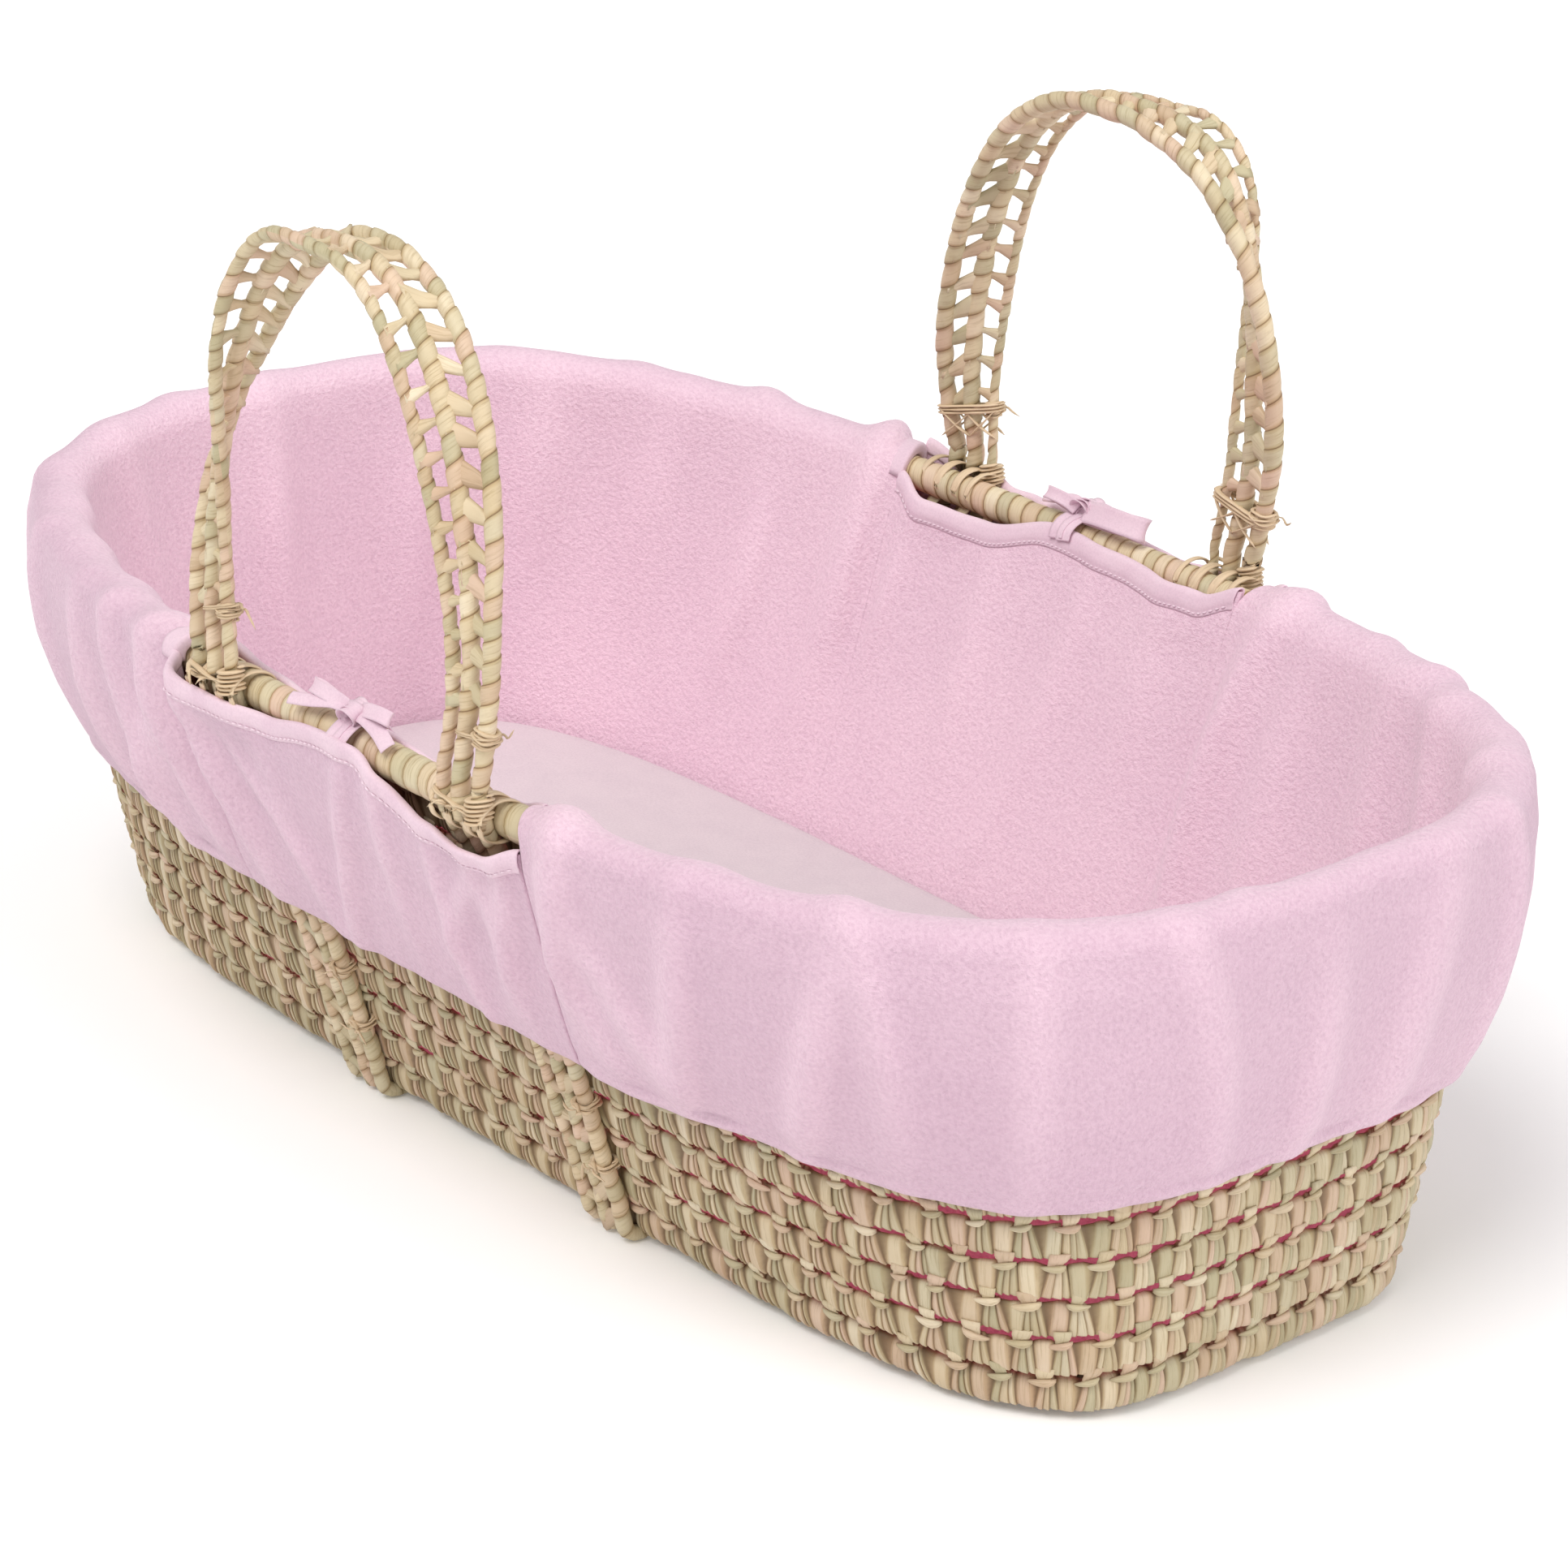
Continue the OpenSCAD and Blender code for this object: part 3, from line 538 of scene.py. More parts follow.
def leaf_row(row, low, high, thick, inset, power=2.9, around=20, rough=1.0, keep_above=None):
    """One row of the wall: fans of folded leaf that hang from the knots above it, and plain strips."""
    rng = np.random.default_rng(100 + row)
    fan = knots[row]
    under = knots[row - 1]
    plain = np.concatenate([under[1:], [under[0] + UNITS]]) if row % 2 else under
    before = np.concatenate([[plain[-1] - UNITS], plain[:-1]])

    def about(value, spread):
        return value * rng.uniform(1 - spread, 1 + spread, UNITS)
    neck, body = about(0.135, 0.2), about(0.19, 0.12)
    foot_left = before + (fan - before) * about(0.45, 0.12)
    foot_right = fan + (plain - fan) * about(0.67, 0.12)
    next_left = np.concatenate([foot_left[1:], [foot_left[0] + UNITS]])
    tops = [fan - neck, fan - neck * about(0.3, 0.5), fan + neck * about(0.35, 0.5), fan + neck]
    feet = [foot_left + 0.01, mix(foot_left, foot_right, about(0.31, 0.25)),
            mix(foot_left, foot_right, about(0.66, 0.2)), foot_right - 0.01]
    recess = 0.045
    # each column: its place at the top and at the foot, how far it stands out, whether it is in a fan, its
    # strip and the place across that, its painted shade, and whether it is a hollow
    columns = [(fan - neck - recess, foot_left + 0.002, np.full(UNITS, RECESS), 0.0, 0.01, 0.62, 1.0)]
    for k in range(3):
        for t, d in FAN:
            columns.append((mix(tops[k], tops[k + 1], t), mix(feet[k], feet[k + 1], t), about(d, 0.35), 1.0,
                            k + t, 0.42 if t < 0.1 and k else 0.0, 0.0))
    columns.append((fan + neck + recess, foot_right - 0.002, np.full(UNITS, RECESS), 0.0, 2.99, 0.62, 1.0))
    for t, d in PLAIN:
        columns.append((mix(plain - body, plain + body, t), mix(foot_right + 0.01, next_left - 0.01, t),
                        about(d, 0.3), 0.0, 3 + t, 0.25 if t < 0.1 else 0.0, 0.0))
    top, foot, stand, is_fan, strip, dark, hollow = (np.array(a) for a in zip(*columns))
    wide = len(columns)
    top, foot, stand = (a.T.ravel() for a in (top, foot, stand))
    lift = rng.normal(0, 0.17, (UNITS, 4))
    strip_of = np.minimum(strip.astype(int), 3)
    stand = stand + lift[:, strip_of].ravel()
    is_fan, hollow, dark = (np.tile(a, UNITS) for a in (is_fan, hollow, dark))
    across, upward = section(around, power)
    height = (upward + 1) / 2
    place_at = mix(foot[:, None], top[:, None], height[None] ** 1.15)
    phi = phi_at(place_at / UNITS)
    tall = np.linalg.norm(wall(phi, high) - wall(phi, low), axis=-1)
    s = place_at / UNITS * LOOP_LENGTH
    waves = ((500, 0.03, 0.9 * MM), (700, 0.025, 0.75 * MM), (800, 0.05, 0.9 * MM))
    gap, sway, drift = (wander(seed + row, LOOP_LENGTH, shortest, amplitude)(s) * rough
                        for seed, shortest, amplitude in waves)
    half_high = (tall - (ROW_GAP + gap)) / 2
    at, _, up, outward = wall_frame(phi, np.full_like(phi, (low + high) / 2), np.zeros_like(phi))
    fade = np.clip(height[None] * 1.15, 0.2, 1)
    proud = np.where(hollow[:, None] > 0, stand[:, None] * fade, stand[:, None]) * MM
    pinch = is_fan[:, None] * smooth_step((upward[None] - 0.1) / 0.8) * 0.75 * MM
    x = thick / 2 * across[None] + signed_power(across, 0.5)[None] * (proud - pinch)
    x = x - 0.55 * MM * upward[None] * (across[None] > 0)
    y = half_high * upward[None] + 0.5 * proud * signed_power(upward, 3)[None] + drift * 0.5
    points = at + (x + sway - inset - thick / 2)[..., None] * outward + y[..., None] * up
    if keep_above is not None:
        points[..., 2] = np.maximum(points[..., 2], keep_above(points))
    quads = grid_quads(UNITS * wide, around, close_rows=True, close_cols=True)
    first = 1000 * (row + 2)
    u = (first + np.repeat(np.arange(UNITS) * 4, wide) + np.tile(strip, UNITS))[:, None] + 0 * height[None]
    v = np.broadcast_to(height[None], u.shape)
    parts = Parts()
    # painted shade in the hollows and at the creases between strips, fading out towards the row's lower edge
    parts.add(points, quads, (), np.stack([u, v], -1), dark[:, None] * smooth_step(height[None] * 1.3))
    add_knots(parts, row, high, -inset, first + 4 * UNITS, rng)
    return parts


STRAP_X = 98 * MM
CORD_APART = 15.8 * MM
STRAP_UNDER = 5.6 * MM


def over_straps(points):
    """The lowest a coil of the base may reach: the floor, or the top of the strap that passes under it."""
    away = np.abs(np.abs(points[..., 0]) - STRAP_X) - (CORD_APART + 5 * MM)
    return 0.6 * MM + (STRAP_UNDER - 0.6 * MM) * (1 - smooth_step(away / (4 * MM)))


def build_wall():
    edge = leaf_row(-1, 1.2 * MM, WALL_LOW, 10 * MM, 1.2 * MM, power=2.4, rough=1.3,
                    keep_above=over_straps)
    finish_piece(edge.piece("edge_coil_of_base", leaf), "basket", "leaf_coil", "base_edge_coil")
    for row in range(ROWS):
        low = WALL_LOW + row * ROW_PITCH
        seen = row <= 4 or row == ROWS - 1
        parts = leaf_row(row, low, low + ROW_PITCH, 6.0 * MM, 0.7 * MM, around=20 if seen else 12)
        node = "wall_coil_%02d" % (row + 1)
        finish_piece(parts.piece("wall_row_%02d" % (row + 1), leaf), "basket", "leaf_coil", node)


def finish_piece(piece, body, slot, *nodes):
    if nodes:
        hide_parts(*nodes)
    if body:
        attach(piece, body)
    return piece


# ---------------------------------------------------------------- wound cords

WIND = [(0.02, 0.24), (0.22, 0.40), (0.60, 0.26), (0.94, -0.26)]


def resample(points, spacing):
    """Evenly spaced points on a line, with their distances along it."""
    points = np.asarray(points, float)
    s = np.concatenate([[0], np.cumsum(np.linalg.norm(np.diff(points[:, :3], axis=0), axis=1))])
    at = np.linspace(0, s[-1], max(8, int(s[-1] / spacing) + 1))
    return columns_at(at, s, points), at


def smooth_line(points, count):
    """A Catmull-Rom curve through a few points."""
    p = np.asarray(points, float)
    p = np.concatenate([[2 * p[0] - p[1]], p, [2 * p[-1] - p[-2]]])
    t = np.linspace(0, len(p) - 3 - 1e-9, count)
    k = t.astype(int)
    f = (t - k)[:, None]
    a, b, c, d = p[k], p[k + 1], p[k + 2], p[k + 3]
    return 0.5 * (2 * b + (c - a) * f + (2 * a - 5 * b + 4 * c - d) * f ** 2
                  + (3 * b - a - 3 * c + d) * f ** 3)


def tangents(points, closed=False):
    if closed:
        return unit(np.roll(points, -1, 0) - np.roll(points, 1, 0))
    return unit(np.gradient(points, axis=0))


def wound_cord(parts, points, across, wide, deep, pitch, seed, closed=False, around=12, step=1.0, spread=0.22,
               lump=0.05, clamp=None):
    """A cord wound with leaf. Each turn overlaps the next, and the turns climb like a screw thread."""
    rng = np.random.default_rng(seed)
    joined = np.concatenate([points, across], -1)
    if closed:
        joined = np.concatenate([joined, joined[:1]])
    line, at = resample(joined, spacing=1.5 * MM)
    length = at[-1]
    turns = max(6, round(length / pitch))
    widths = rng.uniform(1 - spread, 1 + spread, turns)
    starts = np.concatenate([[0], np.cumsum(widths)]) / widths.sum() * length
    per = len(WIND)
    t, d = (np.array(column) for column in zip(*WIND))
    grow = rng.uniform(0.7, 1.35, turns)
    offset = rng.normal(0, 0.13, turns)
    s0 = (starts[:-1, None] + t * np.diff(starts)[:, None]).ravel()
    rise = (d * grow[:, None] + offset[:, None]).ravel() * MM * step
    rows = turns * per
    beta = np.arange(around) / around
    if closed:
        s1, rise1 = np.concatenate([s0[per:], s0[:per] + length]), np.roll(rise, -per)
    else:
        s1 = np.concatenate([s0[per:], s0[-per:] + pitch * 0.2])
        rise1 = np.concatenate([rise[per:], rise[-per:]])
    s = mix(s0[:, None], s1[:, None], beta[None])
    s = s % length if closed else np.clip(s, 0, length)
    out = mix(rise[:, None], rise1[:, None], beta[None])
    values = columns_at(s, at, line)
    line_t = tangents(line[:, :3])
    if closed:
        line_t[0] = line_t[-1] = unit(line[1, :3] - line[-2, :3])
    direction = unit(columns_at(s, at, line_t))
    side = values[..., 3:]
    side = unit(side - direction * (side * direction).sum(-1, keepdims=True))
    through = np.cross(direction, side)
    angle = 2 * math.pi * beta[None] + 0 * s
    swell = 1 + wander(seed + 1, length, 0.012, lump, closed)(s)
    wobble = wander(seed + 2, length, 0.02, 0.35 * MM, closed)(s)
    x = (wide * swell + out) * np.cos(angle)
    y = (deep * swell + out) * np.sin(angle) + wobble
    verts = values[..., :3] + x[..., None] * side + y[..., None] * through
    if clamp is not None:
        verts[..., 2] = np.maximum(verts[..., 2], clamp(verts))
    r, c = (a.ravel() for a in np.meshgrid(np.arange(rows), np.arange(around), indexing="ij"))
    wrap = (c == around - 1) * per
    last = rows if closed else rows - 1
    keep = (r < last) & ((r + 1 + wrap < rows) | closed)
    r, c, wrap = r[keep], c[keep], wrap[keep]
    c2 = (c + 1) % around
    quads = np.stack([r * around + c, ((r + 1) % rows) * around + c,
                      ((r + 1 + wrap) % rows) * around + c2, ((r + wrap) % rows) * around + c2], -1)
    ngons = []
    if not closed:
        ngons.append(list(range(around)) + [j * around for j in range(per, 0, -1)])
        ngons.append([(rows - 1) * around + k for k in range(around - 1, -1, -1)]
                     + [(rows - 1 - j) * around + around - 1 for j in range(1, per + 1)])
    u_row = 4000 + seed * 37 % 5000 + np.repeat(np.arange(turns), per) + np.tile(t, turns)
    u = np.broadcast_to(u_row[:, None], (rows, around))
    v = np.broadcast_to(beta[None] * 2.2, (rows, around))
    u_next = np.concatenate([u_row[1:], [u_row[-1] + 0.05]])
    uv_quads = np.stack([np.stack([u_of[r], (c + on) / around * 2.2], -1)
                         for u_of, on in ((u_row, 0), (u_next, 0), (u_next, 1), (u_row, 1))], 1)
    parts.add(verts, quads, ngons, np.stack([u, v], -1), 0.0, uv_quads)


def strand(parts, points, radius, seed, flat=0.6):
    """A thin strand of raffia or thread along a line, pointed at both ends."""
    line, at = resample(points, spacing=1.6 * MM)
    direction = tangents(line)
    side = np.cross(direction, (0, 0, 1.0))
    weak = np.linalg.norm(side, axis=-1, keepdims=True) < 0.15
    side = unit(np.where(weak, np.cross(direction, (0.7, 0.7, 0.1)), side))
    through = np.cross(direction, side)
    ends = np.clip(np.minimum(at, at[-1] - at) / (3 * MM), 0.25, 1)[:, None]
    size = radius * ends * (1 + wander(seed, at[-1] + 0.01, 0.008, 0.22, False)(at))[:, None]
    ring = np.arange(6) / 6 * 2 * math.pi
    verts = (line[:, None] + (size * np.cos(ring))[..., None] * side[:, None]
             + (size * flat * np.sin(ring))[..., None] * through[:, None])
    ring_tube(parts, verts[None], np.array([9000 + seed % 900]), at[-1] / (20 * MM))


# ---------------------------------------------------------------- straps and handles

CORDS = {"inner": CORD_APART, "middle": 0.8 * MM, "outer": -CORD_APART}
CLOSE = 0.84
WIND_PITCH = 10.5 * MM
STRAP_DEEP = 3.25 * MM
ON_FLOOR = 0.3 * MM
WALL_TIES_Z = (48 * MM, 83 * MM)
# how far the strap's middle stands off the wall, by height: it swings out over the rim coil
STRAP_HEIGHTS = np.array([30, 150, 205, 222, 232, 240, 250, 262]) * MM
STRAP_OFF = np.array([4.2, 4.2, 4.6, 7.0, 10.2, 12.2, 11.6, 7.9]) * MM
joint_at = {j["name"]: j["pos_m"] for j in frame["joints"] if "pos_m" in j}
PIVOT_Y, PIVOT_Z = abs(joint_at["front_handle_fold"][1]), joint_at["front_handle_fold"][2]
# Each handle's half width, how far its top leans in and sways to the foot end, and how pointed its arch is
HANDLE_SHAPE = {-1: (104 * MM, 12 * MM, -5 * MM, 0.86), 1: (107 * MM, -2 * MM, 10 * MM, 0.7)}
HANDLE_NAME = {-1: "front_handle", 1: "back_handle"}
MIDDLE_CORD_R = 4.2 * MM
# The angle that one leg of a handle is banked to, and how far up it gets there
BANK = {-1: (122, 0.73), 1: (104, 0.88)}
# the heights above the rim between which the cords of a handle spread apart
SPREADING = {-1: (50 * MM, 150 * MM), 1: (5 * MM, 80 * MM)}


def arch(a, side):
    """Middle line of a handle, for a from -90 at the left leg to 90 at the right one."""
    half, lean, sway, power = HANDLE_SHAPE[side]
    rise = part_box(HANDLE_NAME[side] + "_middle_cord")[1].z - MIDDLE_CORD_R - PIVOT_Z
    r = np.radians(a)
    share = np.cos(r) ** power
    pinch = (half - STRAP_X) * np.maximum(0, 1 - rise * share / (70 * MM)) ** 2
    x = np.sign(a) * (half * np.abs(np.sin(r)) ** power - pinch) + sway * share ** 2
    return np.stack([x, side * (PIVOT_Y - lean * share), PIVOT_Z + rise * share], -1)


def cord_spread(z, side):
    """The cords lie closer together on the wall and at the rim than higher up in the handle."""
    low, high = SPREADING[side]
    return mix(CLOSE, 1, smooth_step((z - PIVOT_Z - low) / (high - low)))


def handle_line(side):
    """The handle's middle line, with the direction across it from the outer to the inner cord."""
    k = np.linspace(-1, 1, 401)
    a = np.sign(k) * 89.99 * (1 - (1 - np.abs(k)) ** 1.6)
    points = arch(a, side)
    along = tangents(points)
    along[0], along[-1] = (0, 0, 1), (0, 0, -1)
    y = np.array([0, side, 0.0])
    out = unit(y - along * (along @ y)[:, None])
    inward = np.cross((0, 1.0, 0), along)
    inward = unit(inward - along * (inward * along).sum(-1, keepdims=True)
                  - out * (inward * out).sum(-1, keepdims=True))
    # one leg of each handle is banked further over than the other on its way up
    t = 1 - np.abs(a) / 90
    bank, bank_at = BANK[side]
    banked = bank * smooth_step(t / bank_at) + (90 - bank) * smooth_step((t - bank_at) / (1 - bank_at))
    other = 90 * (smooth_step(t) if side < 0 else t ** 0.45)
    turn = np.radians(np.where(a * side > 0, banked, other))[:, None]
    across = np.cos(turn) * inward + np.sin(turn) * out
    # both legs go on a little way below the rim
    drop = np.linspace(20 * MM, 1.5 * MM, 8)[:, None] * np.array([0, side * 0.03, 1.0])
    points = np.concatenate([points[0] - drop, points, points[-1] - drop[::-1]])
    across = np.concatenate([np.repeat(across[:1], 8, 0), across, np.repeat(across[-1:], 8, 0)])
    return np.concatenate([points, across], -1)


def strap_line(x):
    """One cord of a strap, from the back rim down the wall, under the base and up to the front rim."""
    z = np.linspace(PIVOT_Z - 14 * MM, 24 * MM, 90)
    lean = x / half_size(0, z)
    n = squareness(z)
    y = half_size(1, z) * (1 - np.abs(lean) ** n) ** (1 / n) + np.interp(z, STRAP_HEIGHTS, STRAP_OFF)
    down = np.stack([y, z], -1)
    foot = down[-1, 0] - 4.0 * MM
    corner = [(down[-1, 0] - 3.2 * MM, 12 * MM), (foot - 2.5 * MM, 5.2 * MM), (foot - 9 * MM, 3.5 * MM)]
    under = np.stack([np.linspace(foot - 9 * MM, 0, 20)[1:], np.full(19, 3.5 * MM)], -1)
    half = np.concatenate([down, corner, under])
    line = np.concatenate([half, half[::-1][1:] * (-1, 1)])
    points = np.stack([np.full(len(line), x), line[:, 0], line[:, 1]], -1)
    return resample(points, spacing=2 * MM)[0]


LACE_RINGS = np.array([0.0, 0.22, 0.42, 0.60, 0.80, 1.0])
# half of a lace's width in mm at its start, middle and end, for the outer gap and the inner one
LACE_WIDE = [(2.2, 4.4, 6.6), (1.5, 2.1, 4.6)]


def add_lace(parts, at, along, across, through, start, end, wide, thick, slant, strip):
    """Leaf that laces two cords together: it is wide where it goes over the cords and narrow in the gap."""
    n = len(at)
    ring = np.arange(10) / 10 * 2 * math.pi
    cx, cy = signed_power(np.cos(ring), 0.75), signed_power(np.sin(ring), 0.85)
    f = LACE_RINGS[None, :, None]
    x = mix(start[:, None, None], end[:, None, None], f)
    half, deep = (np.stack([np.interp(LACE_RINGS, [0, 0.45, 1], w) for w in sizes])[:, :, None]
                  for sizes in (wide, thick))
    y = half * cx + slant[:, None, None] * (f - 0.5)
    z = deep * cy
    verts = (at[:, None, None] + x[..., None] * across[:, None, None] + y[..., None] * along[:, None, None]
             + z[..., None] * through[:, None, None])
    verts[..., 2] = np.maximum(verts[..., 2], ON_FLOOR)
    ring_tube(parts, verts, strip + np.arange(n), 0.8)


def laced(parts, line, radii, seed, pitch, bare, side=1):
    """Both gaps of a strap of three cords, laced all along it but for a bare length at each end. The laces of
    the two halves lean opposite ways."""
    rng = np.random.default_rng(seed)
    joined, at = resample(line, spacing=1.0 * MM)
    stop = at[-1] - bare
    count = int((stop - bare) / pitch)
    for gap, (low, high) in enumerate((("outer", "middle"), ("middle", "inner"))):
        s = bare + (np.arange(count) + 0.5 + 0.35 * gap) * pitch + rng.uniform(-1.6, 1.6, count) * MM
        s = s[s < stop]
        n = len(s)
        values = columns_at(s, at, joined)
        along = unit(columns_at(s, at, tangents(joined[:, :3])))
        across = unit(values[:, 3:] - along * (values[:, 3:] * along).sum(-1, keepdims=True))
        a, b = (CORDS[cord] * cord_spread(values[:, 2], side) for cord in (low, high))
        ra, rb = radii[low], radii[high]
        size = rng.uniform(0.85, 1.2, n)
        wide = [[w * MM * k for w in LACE_WIDE[gap]] for k in size]
        if gap == 0:
            slant = np.full(n, 10.5 * MM) * rng.uniform(0.8, 1.2, n)
        else:
            slant = np.full(n, -3.4 * MM) + rng.normal(0, 1.0, n) * MM
        thick = [(ra * 1.06, 1.0 * MM, rb * 1.06)] * n
        add_lace(parts, values[:, :3], along, across, np.cross(along, across), a - ra * 0.1, b + rb * 0.1,
                 wide, thick, slant * np.sign(at[-1] / 2 - s), 6000 + seed * 90 + gap * 40)


def lashing_loops(parts, at, along, across, through, wide, deep, turns, seed, radius, spread):
    """Raffia wound round a flat strap, with a crossing turn, a small knot and two loose ends."""
    rng = np.random.default_rng(seed)
    theta = np.linspace(0, 2 * math.pi * turns, int(40 * turns))
    cx, cy = signed_power(np.cos(theta), 0.5), signed_power(np.sin(theta), 0.7)
    climb = spread * (theta / (2 * math.pi) - turns / 2) + wander(seed, 20, 3, 0.9 * MM)(theta)
    slope = rng.uniform(-0.10, 0.10)
    line = (at + (wide * cx)[:, None] * across + (deep * cy)[:, None] * through
            + (climb + slope * wide * cx)[:, None] * along)
    strand(parts, line, radius, seed)
    for k, tilt in enumerate((0.33, -0.30)):
        theta = np.linspace(0, 2 * math.pi, 44)
        cx, cy = signed_power(np.cos(theta), 0.5), signed_power(np.sin(theta), 0.7)
        grow = 1 + 0.05 * (k + 1)
        line = (at + (wide * grow * cx)[:, None] * across + (deep * grow * 1.12 * cy)[:, None] * through
                + (tilt * wide * cx * (0.5 + 0.5 * np.abs(cy)))[:, None] * along)
        strand(parts, line, radius * 0.9, seed + 3 + k)
    knot = at + across * wide * rng.uniform(-0.4, 0.4) + through * deep * 1.15
    theta = np.linspace(0, 2 * math.pi * 1.6, 40)
    line = (knot + (np.cos(theta) * 3.0 * MM)[:, None] * across + (np.sin(theta) * 2.4 * MM)[:, None] * along
            + (np.sin(theta * 1.25) * 1.1 * MM + 0.8 * MM)[:, None] * through)
    strand(parts, line, radius * 1.1, seed + 7)
    for k, sign in enumerate((-1, 1)):
        end = rng.uniform(9, 17) * MM
        bend = [knot + through * 1.2 * MM, knot + through * 3.4 * MM + across * sign * 3 * MM,
                knot + through * 3.0 * MM + across * sign * end * 0.5 + along * rng.uniform(-3, 4) * MM,
                knot + through * rng.uniform(1, 5) * MM + across * sign * end * 0.8
                + along * rng.uniform(-9, 3) * MM]
        strand(parts, smooth_line(bend, 24), radius * 0.7, seed + 9 + k)


def build_straps():
    for name, sx in (("left", -1), ("right", 1)):
        cords, lacing = Parts(), Parts()
        for k, cord in enumerate(CORDS):
            x = sx * (STRAP_X - CLOSE * CORDS[cord])
            line = strap_line(x)
            across = np.broadcast_to(np.array([-sx, 0.0, 0.0]), line.shape)
            foot_end = (cord == "outer") == (sx > 0) and cord != "middle"
            wide, deep = (4.5 * MM, 3.9 * MM) if foot_end else (3.8 * MM, STRAP_DEEP)
            wound_cord(cords, line, across, wide, deep, WIND_PITCH, 20 + 5 * k + (sx > 0) * 50, step=0.9,
                       lump=0.06, clamp=lambda verts: np.full(verts.shape[:-1], ON_FLOOR))
        finish_piece(cords.piece(name + "_strap", leaf_pale), "basket", "leaf_cord", name + "_strap_cords")
        middle = strap_line(sx * STRAP_X)
        line = np.concatenate([middle, np.broadcast_to(np.array([-sx, 0.0, 0.0]), middle.shape)], -1)
        laced(lacing, line, {k: STRAP_DEEP for k in CORDS}, 60 + sx, 17 * MM, 30 * MM)
        finish_piece(lacing.piece(name + "_strap_laces", leaf), "basket", "leaf_lacing",
                     name + "_strap_lacing")
    rim, ties = Parts(), Parts()
    for sx in (-1, 1):
        for side in (-1, 1):
            seed = 200 + 40 * (sx + 1) + 11 * (side + 1)
            add_rim_lashing(rim, sx, side, seed)
            for k, z in enumerate(WALL_TIES_Z):
                add_wall_tie(ties, sx, side, z, seed + 300 + 17 * k)
    finish_piece(rim.piece("raffia_at_rim", raffia), "basket", "raffia", "rim_lashings")
    finish_piece(ties.piece("raffia_on_wall", raffia), "basket", "raffia", "wall_lashings")


# where the raffia turns round the rim coil, across a leg, in mm
RIM_TURNS_AT = (-18.6, -7.0, -5.2, 6.8, 8.6, 18.4)
# the height of the turns round a leg's inner cord, and of the two strands that cross over the leg
LEG_TURNS_Z = 245.2 * MM
LEG_CROSSINGS = ((0.16, 250.0 * MM), (-0.14, 251.5 * MM))


def add_rim_lashing(parts, sx, side, seed):
    """Raffia that holds a leg to the rim coil: turns round the coil between the cords, and across the leg."""
    rng = np.random.default_rng(seed)
    middle_y = side * (half_size(1, RIM_Z) + 4.2 * MM)
    for x in RIM_TURNS_AT:
        theta = np.linspace(0.2, 2 * math.pi + 0.5, 40)
        place_x = sx * STRAP_X + (x + rng.uniform(-0.6, 0.6)) * MM + np.linspace(-0.8, 0.8, 40) * MM
        line = np.stack([place_x, middle_y + side * np.cos(theta) * 13.4 * MM,
                         RIM_Z + 1.2 * MM + np.sin(theta) * 10.0 * MM], -1)
        strand(parts, line, 2.1 * MM, seed + int(x * 3) + 90, flat=0.34)
    theta = np.linspace(0, 2 * math.pi * 6, 220)
    r = 5.2 * MM + wander(seed + 5, 30, 4, 0.5 * MM)(theta)
    middle_x = sx * STRAP_X + CORD_APART * CLOSE
    line = np.stack([middle_x + r * np.cos(theta), side * (PIVOT_Y + r * np.sin(theta)),
                     LEG_TURNS_Z + 1.1 * MM * theta / math.pi + 1.6 * MM * np.cos(theta)], -1)
    strand(parts, line, 1.9 * MM, seed + 60, flat=0.4)
    for k, (tilt, z) in enumerate(LEG_CROSSINGS):
        x = np.linspace(-18, 17, 30) * MM
        face = side * (PIVOT_Y + 4.9 * MM - 3 * MM * (np.abs(x) / (18 * MM)) ** 6)
        wave = wander(seed + k, 0.05, 0.015, 0.5 * MM)(x)
        line = np.stack([sx * STRAP_X + x, face, z + tilt * x + wave], -1)
        strand(parts, line, 1.6 * MM, seed + 70 + k, flat=0.4)
    for k in range(2):
        start = np.array([sx * STRAP_X + rng.uniform(-12, 12) * MM, side * (PIVOT_Y + 5 * MM), 250 * MM])
        ends = [start, start + (rng.uniform(-3, 3) * MM, side * 4 * MM, rng.uniform(0, 3) * MM),
                start + (rng.uniform(-8, 8) * MM, side * 6 * MM, rng.uniform(-5, 2) * MM)]
        strand(parts, smooth_line(ends, 14), 0.8 * MM, seed + 80 + k)


def add_wall_tie(parts, sx, side, z, seed):
    """Raffia wound round the inner cord of a strap, at a height on the wall."""
    x = sx * STRAP_X + CORD_APART * CLOSE
    line = strap_line(x)
    line = line[::-1] if side > 0 else line
    upper = line[len(line) // 2:] if line[-1, 1] * side > 0 else line[:len(line) // 2]
    at = upper[np.argmin(np.abs(upper[:, 2] - z))]
    across, out = np.array([1.0, 0, 0]), np.array([0, side, -0.34])
    out = out / np.linalg.norm(out)
    lashing_loops(parts, at, np.cross(across, out) * side, across, out, 5.7 * MM, 4.6 * MM, 3, seed,
                  1.05 * MM, 1.8 * MM)


